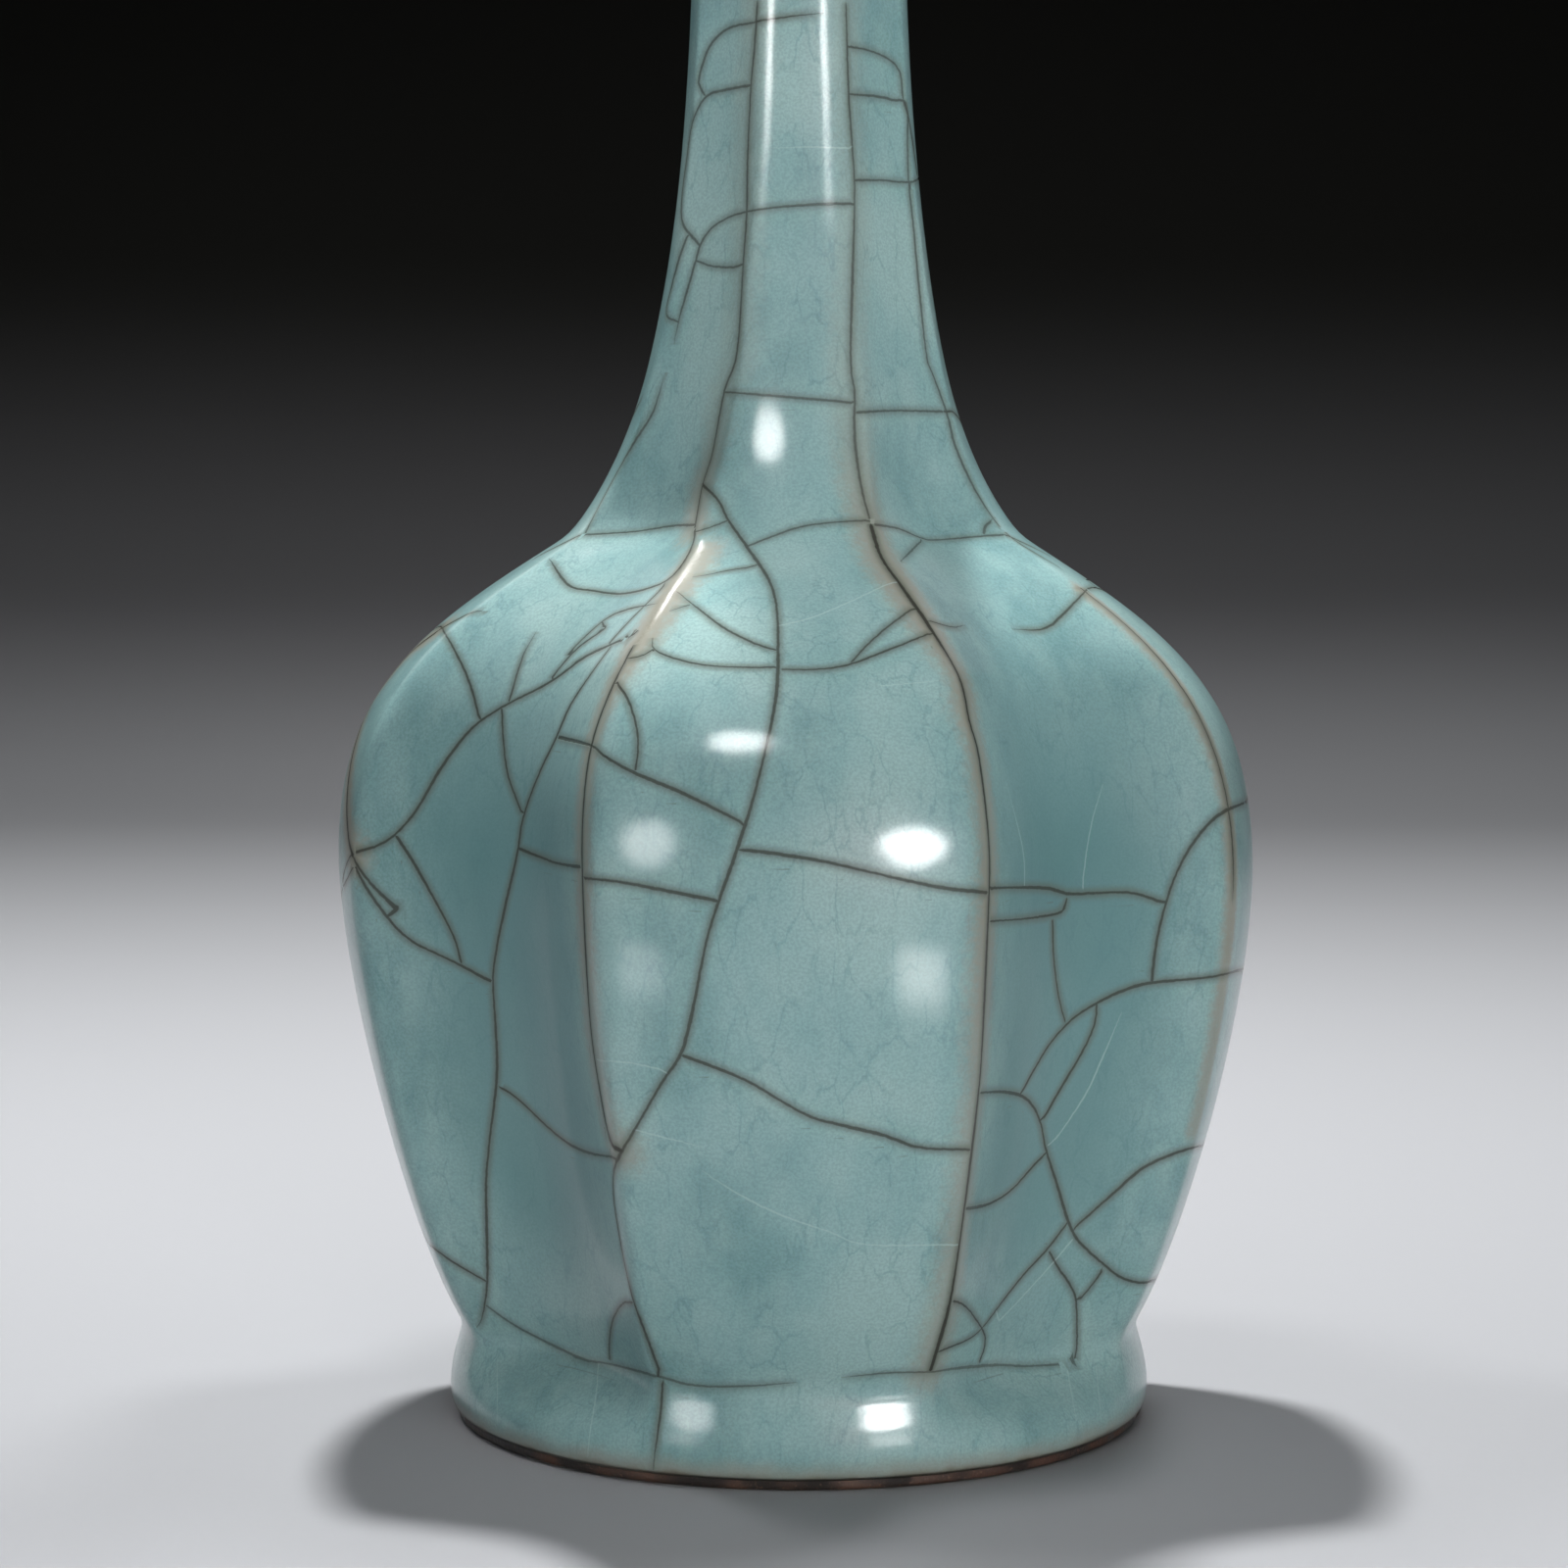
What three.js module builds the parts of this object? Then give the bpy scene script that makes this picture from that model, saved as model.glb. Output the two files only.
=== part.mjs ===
import * as THREE from 'three';

// Celadon bottle vase with eight panels, convex and fluted by turns, in millimetres.
// The origin is the centre of the foot on the ground, +Z is up and a convex panel faces -Y.

// Heights above the ground
const totalHeight = 326;
const mouthJointHeight = 285;
const shoulderCreaseHeight = 160.9;
const widestHeight = 102;
const waistHeight = 17;
const baseRecessHeight = 9.5;
const footRingHeight = 6;
const bareRimHeight = 1.8;
const lipLapDepth = 7;

// Radii of the eight ridges, measured on the glazed outside
const lipRadius = 29;
const neckRadius = 18.9;
const creaseRadius = 41;
const widestRadius = 84;
const waistRadius = 61.6;
const footBulgeRadius = 64.8;
const footEdgeRadius = 63.9;
const footRingInnerRadius = 54;
const footRingDraft = 1.5;
const footEdgeChamfer = 0.6;

// How far each stretch of the outline holds its direction, and which way it turns
const waistLean = 34;
const waistReach = 19;
const bellyReachDown = 21;
const bellyReachUp = 33;
const shoulderSlope = 32;
const shoulderReach = 27.5;
const neckLean = 40;
const neckReach = 25;
const neckReachDown = 54;
const mouthReachUp = 16;
const mouthFlare = 48;
const mouthReach = 11;

// Depth of the panels beyond the straight line between two ridges
const waistBulge = 4.7;
const bodyBulge = 6.2;
const neckBulge = 1.5;
const neckFlute = 0.5;
const shoulderFlute = 4;
const bodyFlute = 10;
const waistFlute = 4.5;
const fluteFullAbove = 55;
const fluteFullBelow = 122;
const neckFacetsFrom = 192;
const footRoundBelow = 7;
const lipRoundness = 0.8;

// Thickness of the clay, of the glaze and of the seat between them
const bodyWall = 5;
const neckWall = 4;
const lipWall = 2.8;
const glazeThickness = 1;
const glazeSeat = 0.3;

// Fineness of the model
const panelCount = 8;
const stepsPerPanel = 5;
const footSteps = 4;
const bellySteps = 6;
const shoulderSteps = 6;
const neckSteps = 6;
const mouthSteps = 3;
const lipSteps = 4;

const halfPanel = Math.PI / panelCount;
const clayInset = glazeThickness + glazeSeat;

const glazeGreen = new THREE.MeshStandardMaterial({ color: 0x7fa9a4, roughness: 0.18, metalness: 0 });
const glazeInside = new THREE.MeshStandardMaterial({ color: 0x86aaa2, roughness: 0.2, metalness: 0 });
const greyClay = new THREE.MeshStandardMaterial({ color: 0x6f6a62, roughness: 0.85, metalness: 0 });
const ironClay = new THREE.MeshStandardMaterial({ color: 0x2e1c15, roughness: 0.5, metalness: 0 });

function ramp(value, from, to) {
  return THREE.MathUtils.smoothstep(value, from, to);
}

function steps(height, stations) {
  let depth = stations[0].depth;
  for (let i = 1; i < stations.length; i++) {
    const share = ramp(height, stations[i - 1].height, stations[i].height);
    depth += share * (stations[i].depth - stations[i - 1].depth);
  }
  return depth;
}

// Flutes start shallow at the foot, run deep round the body and die out up the neck
function fluteAt(height) {
  return steps(height, [
    { height: waistHeight, depth: waistFlute },
    { height: fluteFullAbove, depth: bodyFlute },
    { height: fluteFullBelow, depth: bodyFlute },
    { height: shoulderCreaseHeight, depth: shoulderFlute },
    { height: neckFacetsFrom, depth: neckFlute },
  ]);
}

function bulgeAt(height) {
  return steps(height, [
    { height: waistHeight, depth: waistBulge },
    { height: widestHeight, depth: bodyBulge },
    { height: fluteFullBelow, depth: bodyBulge },
    { height: neckFacetsFrom, depth: neckBulge },
  ]);
}

function roundnessAt(height) {
  const foot = 1 - ramp(height, footRoundBelow, waistHeight);
  const lip = lipRoundness * ramp(height, mouthJointHeight, totalHeight);
  return Math.max(foot, lip);
}

// Distance of the surface from the axis, for a ridge radius, a height and an angle from the front
function sectionRadius(ridgeRadius, height, angle) {
  const panel = Math.round(angle / (2 * halfPanel));
  const local = angle - panel * 2 * halfPanel;
  const straight = ridgeRadius * Math.cos(halfPanel) / Math.cos(local);
  const crown = 1 - (Math.tan(local) / Math.tan(halfPanel)) ** 2;
  const depth = panel % 2 === 0 ? bulgeAt(height) : -fluteAt(height);
  return THREE.MathUtils.lerp(straight + depth * crown, ridgeRadius, roundnessAt(height));
}

// A point moved by a reach in a direction, given in degrees from level
function reached(radius, height, reach, degrees) {
  const turn = THREE.MathUtils.degToRad(degrees);
  return new THREE.Vector2(radius + reach * Math.cos(turn), height + reach * Math.sin(turn));
}

// The glazed outline from the ground to the lip, as five curves in (radius, height)
const lipThickness = 2 * clayInset + lipWall;
const flareTurn = THREE.MathUtils.degToRad(mouthFlare);
const lipHeight = totalHeight - lipThickness / 2 * (1 + Math.cos(flareTurn));

function wallAt(height) {
  const lower = Math.min(1, height / shoulderCreaseHeight);
  const upper = Math.max(0, (height - shoulderCreaseHeight) / (lipHeight - shoulderCreaseHeight));
  return bodyWall + (neckWall - bodyWall) * lower + (lipWall - neckWall) * upper;
}

const curve = (a, b, c, d) => new THREE.CubicBezierCurve(a, b, c, d);
const point = (radius, height) => new THREE.Vector2(radius, height);

const footCurve = curve(
  point(footEdgeRadius, 0),
  point(footBulgeRadius, waistHeight / 3),
  point(footBulgeRadius, waistHeight / 2),
  point(waistRadius, waistHeight),
);
const bellyCurve = curve(
  point(waistRadius, waistHeight),
  reached(waistRadius, waistHeight, waistReach, 90 - waistLean),
  point(widestRadius, widestHeight - bellyReachDown),
  point(widestRadius, widestHeight),
);
const shoulderCurve = curve(
  point(widestRadius, widestHeight),
  point(widestRadius, widestHeight + bellyReachUp),
  reached(creaseRadius, shoulderCreaseHeight, shoulderReach, -shoulderSlope),
  point(creaseRadius, shoulderCreaseHeight),
);
const neckCurve = curve(
  point(creaseRadius, shoulderCreaseHeight),
  reached(creaseRadius, shoulderCreaseHeight, neckReach, 90 + neckLean),
  point(neckRadius, mouthJointHeight - neckReachDown),
  point(neckRadius, mouthJointHeight),
);
const mouthCurve = curve(
  point(neckRadius, mouthJointHeight),
  point(neckRadius, mouthJointHeight + mouthReachUp),
  reached(lipRadius, lipHeight, mouthReach, mouthFlare - 180),
  point(lipRadius, lipHeight),
);

// A level ring of the surface: its ridge radius, its height and its radius at any angle
function ring(radius, height, radiusAt) {
  return { radius, height, radiusAt };
}

function roundRing(radius, height) {
  return ring(radius, height, () => radius);
}

// The level is the height whose section the ring has
function panelRing(radius, height, level) {
  return ring(radius, height, (angle) => sectionRadius(radius, level, angle));
}

function ringBetween(low, high, height) {
  const share = (height - low.height) / (high.height - low.height);
  const mix = (a, b) => THREE.MathUtils.lerp(a, b, share);
  const radiusAt = (angle) => mix(low.radiusAt(angle), high.radiusAt(angle));
  return ring(mix(low.radius, high.radius), height, radiusAt);
}

// The outline as rings, moved into the wall by an inset that may change with height
function outline(insetAt) {
  const stretches = [
    [footCurve, footSteps],
    [bellyCurve, bellySteps],
    [shoulderCurve, shoulderSteps],
    [neckCurve, neckSteps],
    [mouthCurve, mouthSteps],
  ];
  const rings = [];
  for (const [path, count] of stretches) {
    for (let i = 0; i <= count; i++) {
      const place = path.getPoint(i / count);
      const along = path.getTangent(i / count);
      const inset = insetAt(place.y);
      rings.push(panelRing(place.x - along.y * inset, place.y + along.x * inset, place.y));
    }
  }
  return withoutRepeats(rings);
}

function withoutRepeats(rings) {
  const apart = (a, b) => Math.hypot(a.radius - b.radius, a.height - b.height) > glazeSeat / 3;
  return rings.filter((each, i) => i === 0 || apart(each, rings[i - 1]));
}

// The stretch of a rising outline between two heights, ending exactly on them
function between(rings, low, high) {
  const stretch = [];
  rings.forEach((each, i) => {
    const before = rings[i - 1] ?? each;
    for (const cut of [low, high]) {
      if (before.height < cut && cut < each.height) {
        stretch.push(ringBetween(before, each, cut));
      }
    }
    if (each.height >= low && each.height <= high) {
      stretch.push(each);
    }
  });
  return withoutRepeats(stretch);
}

const glazeOutside = outline(() => 0);
const glazeBack = outline(() => glazeThickness);
const clayOutside = outline(() => clayInset);
const clayInside = outline((height) => clayInset + wallAt(height));
const innerGlazeBack = outline((height) => clayInset + wallAt(height) + glazeSeat);
const innerGlazeFace = outline((height) => 2 * clayInset + wallAt(height));

// A half circle over the lip, from an outline's end to the end of the one on the other side
function lipArc(outerEnd, innerEnd) {
  const middle = point(outerEnd.radius + innerEnd.radius, outerEnd.height + innerEnd.height);
  middle.divideScalar(2);
  const start = point(outerEnd.radius, outerEnd.height);
  const arc = [];
  for (let i = 1; i < lipSteps; i++) {
    const place = start.clone().rotateAround(middle, Math.PI * i / lipSteps);
    arc.push(panelRing(place.x, place.y, lipHeight));
  }
  return arc;
}

// A closed body made by joining each ring of a loop to the next, up the outside and down the inside
function swept(loop) {
  const around = panelCount * stepsPerPanel;
  const corner = (each, step) => {
    const angle = halfPanel + 2 * Math.PI * (step % around) / around;
    const radius = each.radiusAt(angle);
    return [radius * Math.sin(angle), -radius * Math.cos(angle), each.height];
  };
  const positions = [];
  loop.forEach((each, i) => {
    const next = loop[(i + 1) % loop.length];
    const rising = next.height >= each.height;
    const [low, high] = rising ? [each, next] : [next, each];
    for (let step = 0; step < around; step++) {
      const lower = [corner(low, step), corner(low, step + 1), corner(high, step + 1)];
      const upper = [corner(low, step), corner(high, step + 1), corner(high, step)];
      addTriangle(positions, rising ? lower : lower.reverse());
      addTriangle(positions, rising ? upper : upper.reverse());
    }
  });
  const geometry = new THREE.BufferGeometry();
  geometry.setAttribute('position', new THREE.Float32BufferAttribute(positions, 3));
  geometry.computeVertexNormals();
  return geometry;
}

// A triangle on the axis has two corners in one place and is left out
function addTriangle(positions, corners) {
  const [a, b, c] = corners.map((each) => new THREE.Vector3().fromArray(each));
  if (a.distanceTo(b) > 0 && b.distanceTo(c) > 0 && c.distanceTo(a) > 0) {
    positions.push(...corners.flat());
  }
}

function wallSection(low, high) {
  return swept([...between(clayOutside, low, high), ...between(clayInside, low, high).reverse()]);
}

// The ring under the base, bare at its edge, with a draft inside that runs on up the recess
const recessRadius = footRingInnerRadius - footRingDraft;

function footRing() {
  const outside = between(clayOutside, footEdgeChamfer, footRingHeight);
  return swept([
    roundRing(outside[0].radius - footEdgeChamfer, 0),
    ...outside,
    roundRing(recessRadius, footRingHeight),
    roundRing(footRingInnerRadius, 0),
  ]);
}

function baseFloor() {
  return swept([
    roundRing(0, baseRecessHeight),
    roundRing(recessRadius, baseRecessHeight),
    roundRing(recessRadius, footRingHeight),
    ...between(clayOutside, footRingHeight, waistHeight),
    roundRing(0, waistHeight),
  ]);
}

function mouthRim() {
  const outside = between(clayOutside, mouthJointHeight, totalHeight);
  const inside = between(clayInside, mouthJointHeight, totalHeight);
  return swept([...outside, ...lipArc(outside.at(-1), inside.at(-1)), ...inside.reverse()]);
}

// The glaze on the outside laps over the lip and meets the inner glaze a little way down
const lapHeight = totalHeight - lipLapDepth;

function outerGlaze() {
  const face = between(glazeOutside, bareRimHeight, totalHeight);
  const back = between(glazeBack, bareRimHeight, totalHeight);
  const lapFace = between(innerGlazeFace, lapHeight, totalHeight);
  const lapBack = between(innerGlazeBack, lapHeight, totalHeight);
  return swept([
    ...face,
    ...lipArc(face.at(-1), lapFace.at(-1)),
    ...lapFace.reverse(),
    ...lapBack,
    ...lipArc(back.at(-1), lapBack.at(-1)).reverse(),
    ...back.reverse(),
  ]);
}

function innerGlaze() {
  const pool = waistHeight + glazeThickness;
  return swept([
    roundRing(0, waistHeight),
    ...between(innerGlazeBack, waistHeight, lapHeight),
    ...between(innerGlazeFace, pool, lapHeight).reverse(),
    roundRing(0, pool),
  ]);
}

function baseGlaze() {
  const radius = recessRadius - glazeSeat;
  const low = baseRecessHeight - glazeThickness;
  return swept([
    roundRing(0, low),
    roundRing(radius, low),
    roundRing(radius, baseRecessHeight),
    roundRing(0, baseRecessHeight),
  ]);
}

function addPiece(group, name, geometry, material) {
  const mesh = new THREE.Mesh(geometry, material);
  mesh.name = name;
  group.add(mesh);
}

const vase = new THREE.Group();
addPiece(vase, 'foot_ring', footRing(), ironClay);
addPiece(vase, 'base_floor', baseFloor(), greyClay);
addPiece(vase, 'lower_body', wallSection(waistHeight, widestHeight), greyClay);
addPiece(vase, 'upper_body', wallSection(widestHeight, shoulderCreaseHeight), greyClay);
addPiece(vase, 'neck', wallSection(shoulderCreaseHeight, mouthJointHeight), greyClay);
addPiece(vase, 'mouth_rim', mouthRim(), greyClay);
addPiece(vase, 'outer_glaze', outerGlaze(), glazeGreen);
addPiece(vase, 'inner_glaze', innerGlaze(), glazeInside);
addPiece(vase, 'base_glaze', baseGlaze(), glazeInside);

export default vase;
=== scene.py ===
import math
import random

import bmesh
import bpy
import numpy as np
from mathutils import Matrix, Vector
from mathutils.bvhtree import BVHTree
from mathutils.kdtree import KDTree


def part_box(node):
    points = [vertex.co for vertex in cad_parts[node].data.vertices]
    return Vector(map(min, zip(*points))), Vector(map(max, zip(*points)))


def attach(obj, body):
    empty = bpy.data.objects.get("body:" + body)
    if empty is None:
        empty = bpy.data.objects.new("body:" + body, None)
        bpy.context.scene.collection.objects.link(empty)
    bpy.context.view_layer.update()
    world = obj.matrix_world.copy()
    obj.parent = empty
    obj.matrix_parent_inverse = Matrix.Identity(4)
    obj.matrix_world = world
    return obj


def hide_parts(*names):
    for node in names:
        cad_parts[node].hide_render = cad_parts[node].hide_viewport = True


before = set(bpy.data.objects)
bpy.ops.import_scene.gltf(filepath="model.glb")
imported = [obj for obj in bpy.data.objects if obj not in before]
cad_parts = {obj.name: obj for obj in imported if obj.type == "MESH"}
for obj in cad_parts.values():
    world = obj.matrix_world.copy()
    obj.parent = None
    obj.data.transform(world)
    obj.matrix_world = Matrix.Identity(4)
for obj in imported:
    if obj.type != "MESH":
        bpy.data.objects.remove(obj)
bpy.context.view_layer.update()
MM = 0.001


def placed(name, data):
    """A new object with its data, in the scene."""
    made = bpy.data.objects.new(name, data)
    bpy.context.scene.collection.objects.link(made)
    return made


print("clay and glaze nodes:", sorted(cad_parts))

# %% [markdown]
# The photograph was taken from close by with a long lens, so the shoulder is seen level and the foot
# from above. The ellipse of the foot and the level shoulder give the distance and the height of the
# lens, and the width of the body gives its length. The front panel shows a little left of the axis,
# so the lens stands one degree to the right of it.
# %% The camera
LENS_DISTANCE, LENS_HEIGHT = 695 * MM, 168.2 * MM
LENS_TILT = math.radians(4.35)
PHOTO_SIDE = 1600
FOCAL_PIXELS = 3876
AXIS_PIXEL = 812.5
STEP_ASIDE = math.radians(1.0)
LENS_TURN = STEP_ASIDE + math.atan((AXIS_PIXEL - PHOTO_SIDE / 2) / FOCAL_PIXELS)
SENSOR, NEAREST = 36, 10 * MM

camera_data = bpy.data.cameras.new("camera")
camera_data.sensor_width = SENSOR
camera_data.lens = FOCAL_PIXELS / PHOTO_SIDE * SENSOR
camera_data.clip_start = NEAREST
camera = placed("camera", camera_data)
camera.location = (LENS_DISTANCE * math.sin(STEP_ASIDE), -LENS_DISTANCE * math.cos(STEP_ASIDE),
                   LENS_HEIGHT)
camera.rotation_euler = (math.pi / 2 - LENS_TILT, 0, LENS_TURN)
bpy.context.scene.camera = camera
bpy.context.view_layer.update()
print("lens of", round(camera_data.lens, 1), "mm at", tuple(round(v, 3) for v in camera.location))

# %% [markdown]
# A formula is easier to read than a web of nodes, so a small helper adds nodes and joins them. The
# plain signs for plus, minus, times and over each add the node that does the sum. The helper serves
# both the trees that make shapes and the trees that make finishes.
# %% A helper for node trees


class Value:
    """An output of a node, which plain signs join into a formula."""

    def __init__(self, sheet, socket):
        self.sheet, self.socket = sheet, socket

    def __add__(self, other):
        return self.sheet.math("ADD", self, other)

    def __sub__(self, other):
        return self.sheet.math("SUBTRACT", self, other)

    def __rsub__(self, other):
        return self.sheet.math("SUBTRACT", other, self)

    def __mul__(self, other):
        return self.sheet.math("MULTIPLY", self, other)

    def __truediv__(self, other):
        return self.sheet.math("DIVIDE", self, other)


class Sheet:
    """Adds nodes to a tree, so that a step of a formula is one line."""

    def __init__(self, tree):
        self.tree = tree

    def node(self, kind, inputs=None, **settings):
        made = self.tree.nodes.new(kind)
        for name, value in settings.items():
            setattr(made, name, value)
        for name, value in (inputs or {}).items():
            if isinstance(value, Value):
                self.tree.links.new(value.socket, made.inputs[name])
            else:
                made.inputs[name].default_value = value
        return made

    def out(self, kind, inputs=None, output=0, **settings):
        """One output of a new node."""
        return Value(self, self.node(kind, inputs, **settings).outputs[output])

    def outs(self, kind, inputs=None):
        """All outputs of a new node, by name."""
        return {socket.name: Value(self, socket) for socket in self.node(kind, inputs).outputs}

    def math(self, operation, *values):
        return self.out("ShaderNodeMath", dict(enumerate(values)), operation=operation)

    def ramp(self, value, start, end, low=0.0, high=1.0):
        """A smooth step from low to high while the value goes from start to end."""
        return self.out("ShaderNodeMapRange", dict(enumerate((value, start, end, low, high))),
                        interpolation_type="SMOOTHSTEP")

    def split(self, point):
        """The three coordinates of a point."""
        return list(self.outs("ShaderNodeSeparateXYZ", {"Vector": point}).values())


print("helpers ready:", Value.__name__, "and", Sheet.__name__)

# %% [markdown]
# A potter thinks of a bottle as one outline and turns it about the axis. The outline here is five
# smooth curves, for the foot, the belly, the shoulder, the neck and the mouth, in radius and height.
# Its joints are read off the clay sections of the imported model, so the skins lie on that clay.
# %% The outline of the vase
FOOT_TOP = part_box("lower_body")[0].z
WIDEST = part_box("lower_body")[1].z
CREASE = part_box("upper_body")[1].z
MOUTH_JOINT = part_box("neck")[1].z
TOTAL_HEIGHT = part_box("outer_glaze")[1].z
GLAZE_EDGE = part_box("outer_glaze")[0].z
GLAZE, SEAT = 1.0 * MM, 0.3 * MM
BODY_WALL, NECK_WALL, LIP_WALL = 5 * MM, 4 * MM, 2.8 * MM

FOOT_EDGE_RADIUS, FOOT_BULGE_RADIUS, WAIST_RADIUS = 63.9 * MM, 64.8 * MM, 61.8 * MM
WIDEST_RADIUS, CREASE_RADIUS, NECK_RADIUS, LIP_RADIUS = 84 * MM, 41 * MM, 18.9 * MM, 29 * MM
MOUTH_FLARE = 48
LIP_THICKNESS = 2 * (GLAZE + SEAT) + LIP_WALL
LIP_HEIGHT = TOTAL_HEIGHT - LIP_THICKNESS / 2 * (1 + math.cos(math.radians(MOUTH_FLARE)))


def arm(radius, height, reach, degrees):
    """The point at a reach from a point, in a direction given in degrees from level."""
    turn = math.radians(degrees)
    return radius + reach * math.cos(turn), height + reach * math.sin(turn)


OUTLINE = {
    "foot": [(FOOT_EDGE_RADIUS, 0), (FOOT_BULGE_RADIUS, FOOT_TOP / 3),
             (FOOT_BULGE_RADIUS, FOOT_TOP / 2), (WAIST_RADIUS, FOOT_TOP)],
    "belly": [(WAIST_RADIUS, FOOT_TOP), arm(WAIST_RADIUS, FOOT_TOP, 19 * MM, 56),
              (WIDEST_RADIUS, WIDEST - 21 * MM), (WIDEST_RADIUS, WIDEST)],
    "shoulder": [(WIDEST_RADIUS, WIDEST), (WIDEST_RADIUS, WIDEST + 33 * MM),
                 arm(CREASE_RADIUS, CREASE, 27.5 * MM, -32), (CREASE_RADIUS, CREASE)],
    "neck": [(CREASE_RADIUS, CREASE), arm(CREASE_RADIUS, CREASE, 25 * MM, 130),
             (NECK_RADIUS, MOUTH_JOINT - 54 * MM), (NECK_RADIUS, MOUTH_JOINT)],
    "mouth": [(NECK_RADIUS, MOUTH_JOINT), (NECK_RADIUS, MOUTH_JOINT + 16 * MM),
              arm(LIP_RADIUS, LIP_HEIGHT, 11 * MM, MOUTH_FLARE - 180), (LIP_RADIUS, LIP_HEIGHT)],
}
CURVE_STEPS = 120


def whole_outline():
    """Points of the glazed outline and the directions into the wall."""
    places, inward = [], []
    share = np.linspace(0, 1, CURVE_STEPS)[:, None]
    back = 1 - share
    for corners in OUTLINE.values():
        a, b, c, d = (np.array(corner, float) for corner in corners)
        places.append(back**3 * a + 3 * back**2 * share * b + 3 * back * share**2 * c + share**3 * d)
        along = back**2 * (b - a) + 2 * back * share * (c - b) + share**2 * (d - c)
        along /= np.linalg.norm(along, axis=1)[:, None]
        inward.append(np.column_stack([-along[:, 1], along[:, 0]]))
    return np.vstack(places), np.vstack(inward)


PLACES, INWARD = whole_outline()
print("outline from", PLACES[0] / MM, "to", PLACES[-1] / MM, "mm")

# %% [markdown]
# The coats follow the outline at their own depths in the wall. A skin takes a stretch of it, so a few
# helpers move the outline inwards, cut it at a height and space its points.
# %% The depths of the coats, and paths along the outline
KEPT_INSIDE = 0.45 * MM
WIDEST_SPREAD, LIP_SPREAD, LIP_SHARE = 40 * MM, 20 * MM, 0.3


def wall_at(height):
    """The thickness of the clay, which thins from the foot to the lip."""
    lower = np.clip(height / CREASE, 0, 1)
    upper = np.clip((height - CREASE) / (LIP_HEIGHT - CREASE), 0, 1)
    return BODY_WALL + (NECK_WALL - BODY_WALL) * lower + (LIP_WALL - NECK_WALL) * upper


INNER_FACE = 2 * (GLAZE + SEAT) + wall_at(PLACES[:, 1])
INNER_BACK = GLAZE + 2 * SEAT + wall_at(PLACES[:, 1])


def inset(depth, facing=1):
    """The outline moved into the wall, as rows of radius, height and the height of its section.

    Near the widest place and the lip a skin keeps a little inside its own surface, which faces
    outwards (1) or inwards (-1), so that its bumps stay within the vase's size.
    """
    near_widest = np.exp(-((PLACES[:, 1] - WIDEST) / WIDEST_SPREAD)**2)
    near_lip = LIP_SHARE * np.clip((PLACES[:, 1] - MOUTH_JOINT) / LIP_SPREAD, 0, 1)
    kept = KEPT_INSIDE * np.maximum(near_widest, near_lip)
    moved = PLACES + INWARD * (depth + facing * kept)[:, None]
    return np.column_stack([moved, PLACES[:, 1]])


def lengths_along(rows):
    steps = np.linalg.norm(np.diff(rows[:, :2], axis=0), axis=1)
    return steps, np.concatenate([[0], np.cumsum(steps)])


def at_marks(marks, scale, rows):
    """The rows of a path at marks on a scale that runs along it."""
    return np.column_stack([np.interp(marks, scale, rows[:, i]) for i in range(3)])


def spaced(rows, gap):
    """The same path with its points a steady gap apart, its ends kept."""
    length = lengths_along(rows)[1]
    marks = np.linspace(0, length[-1], max(2, round(length[-1] / gap) + 1))
    return at_marks(marks, length, rows)


def above(rows, low):
    """The stretch of a rising path above a height, starting on it."""
    return np.vstack([at_marks([low], rows[:, 1], rows), rows[rows[:, 1] > low]])


def below(rows, high):
    """The stretch of a rising path below a height, ending on it."""
    return np.vstack([rows[rows[:, 1] < high], at_marks([high], rows[:, 1], rows)])


print("wall of", (wall_at(np.array([0.0, CREASE, LIP_HEIGHT])) / MM).round(1), "mm")

# %% [markdown]
# The panels follow a rule: straight lines from ridge to ridge, with a bulge or a hollow laid on them.
# The flutes start shallow at the foot, run deep round the belly and die out up the neck, and the foot
# itself stays round. The neck of the real vase is turned a little against the body and the whole
# sways by half a millimetre, as hand work does.
# %% The rule of the panels
PANEL_SIZES = {
    "Waist bulge": 4.7 * MM, "Body bulge": 6.2 * MM, "Neck bulge": 1.5 * MM,
    "Waist flute": 4.0 * MM, "Body flute": 10 * MM, "Shoulder flute": 4 * MM, "Neck flute": 0.5 * MM,
    "Flute full above": 55 * MM, "Flute full below": 122 * MM, "Facets from": 192 * MM,
    "Round below": 7 * MM, "Lip roundness": 0.8, "Neck turn": math.radians(3),
    "Sway": 0.5 * MM, "Sway height": 92 * MM, "Sway start": 50 * MM,
    "Unevenness": 0.08 * MM, "Unevenness size": 32 * MM,
}
PANELS = 8
HALF_PANEL = math.pi / PANELS
TINY = 0.01 * MM


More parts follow.
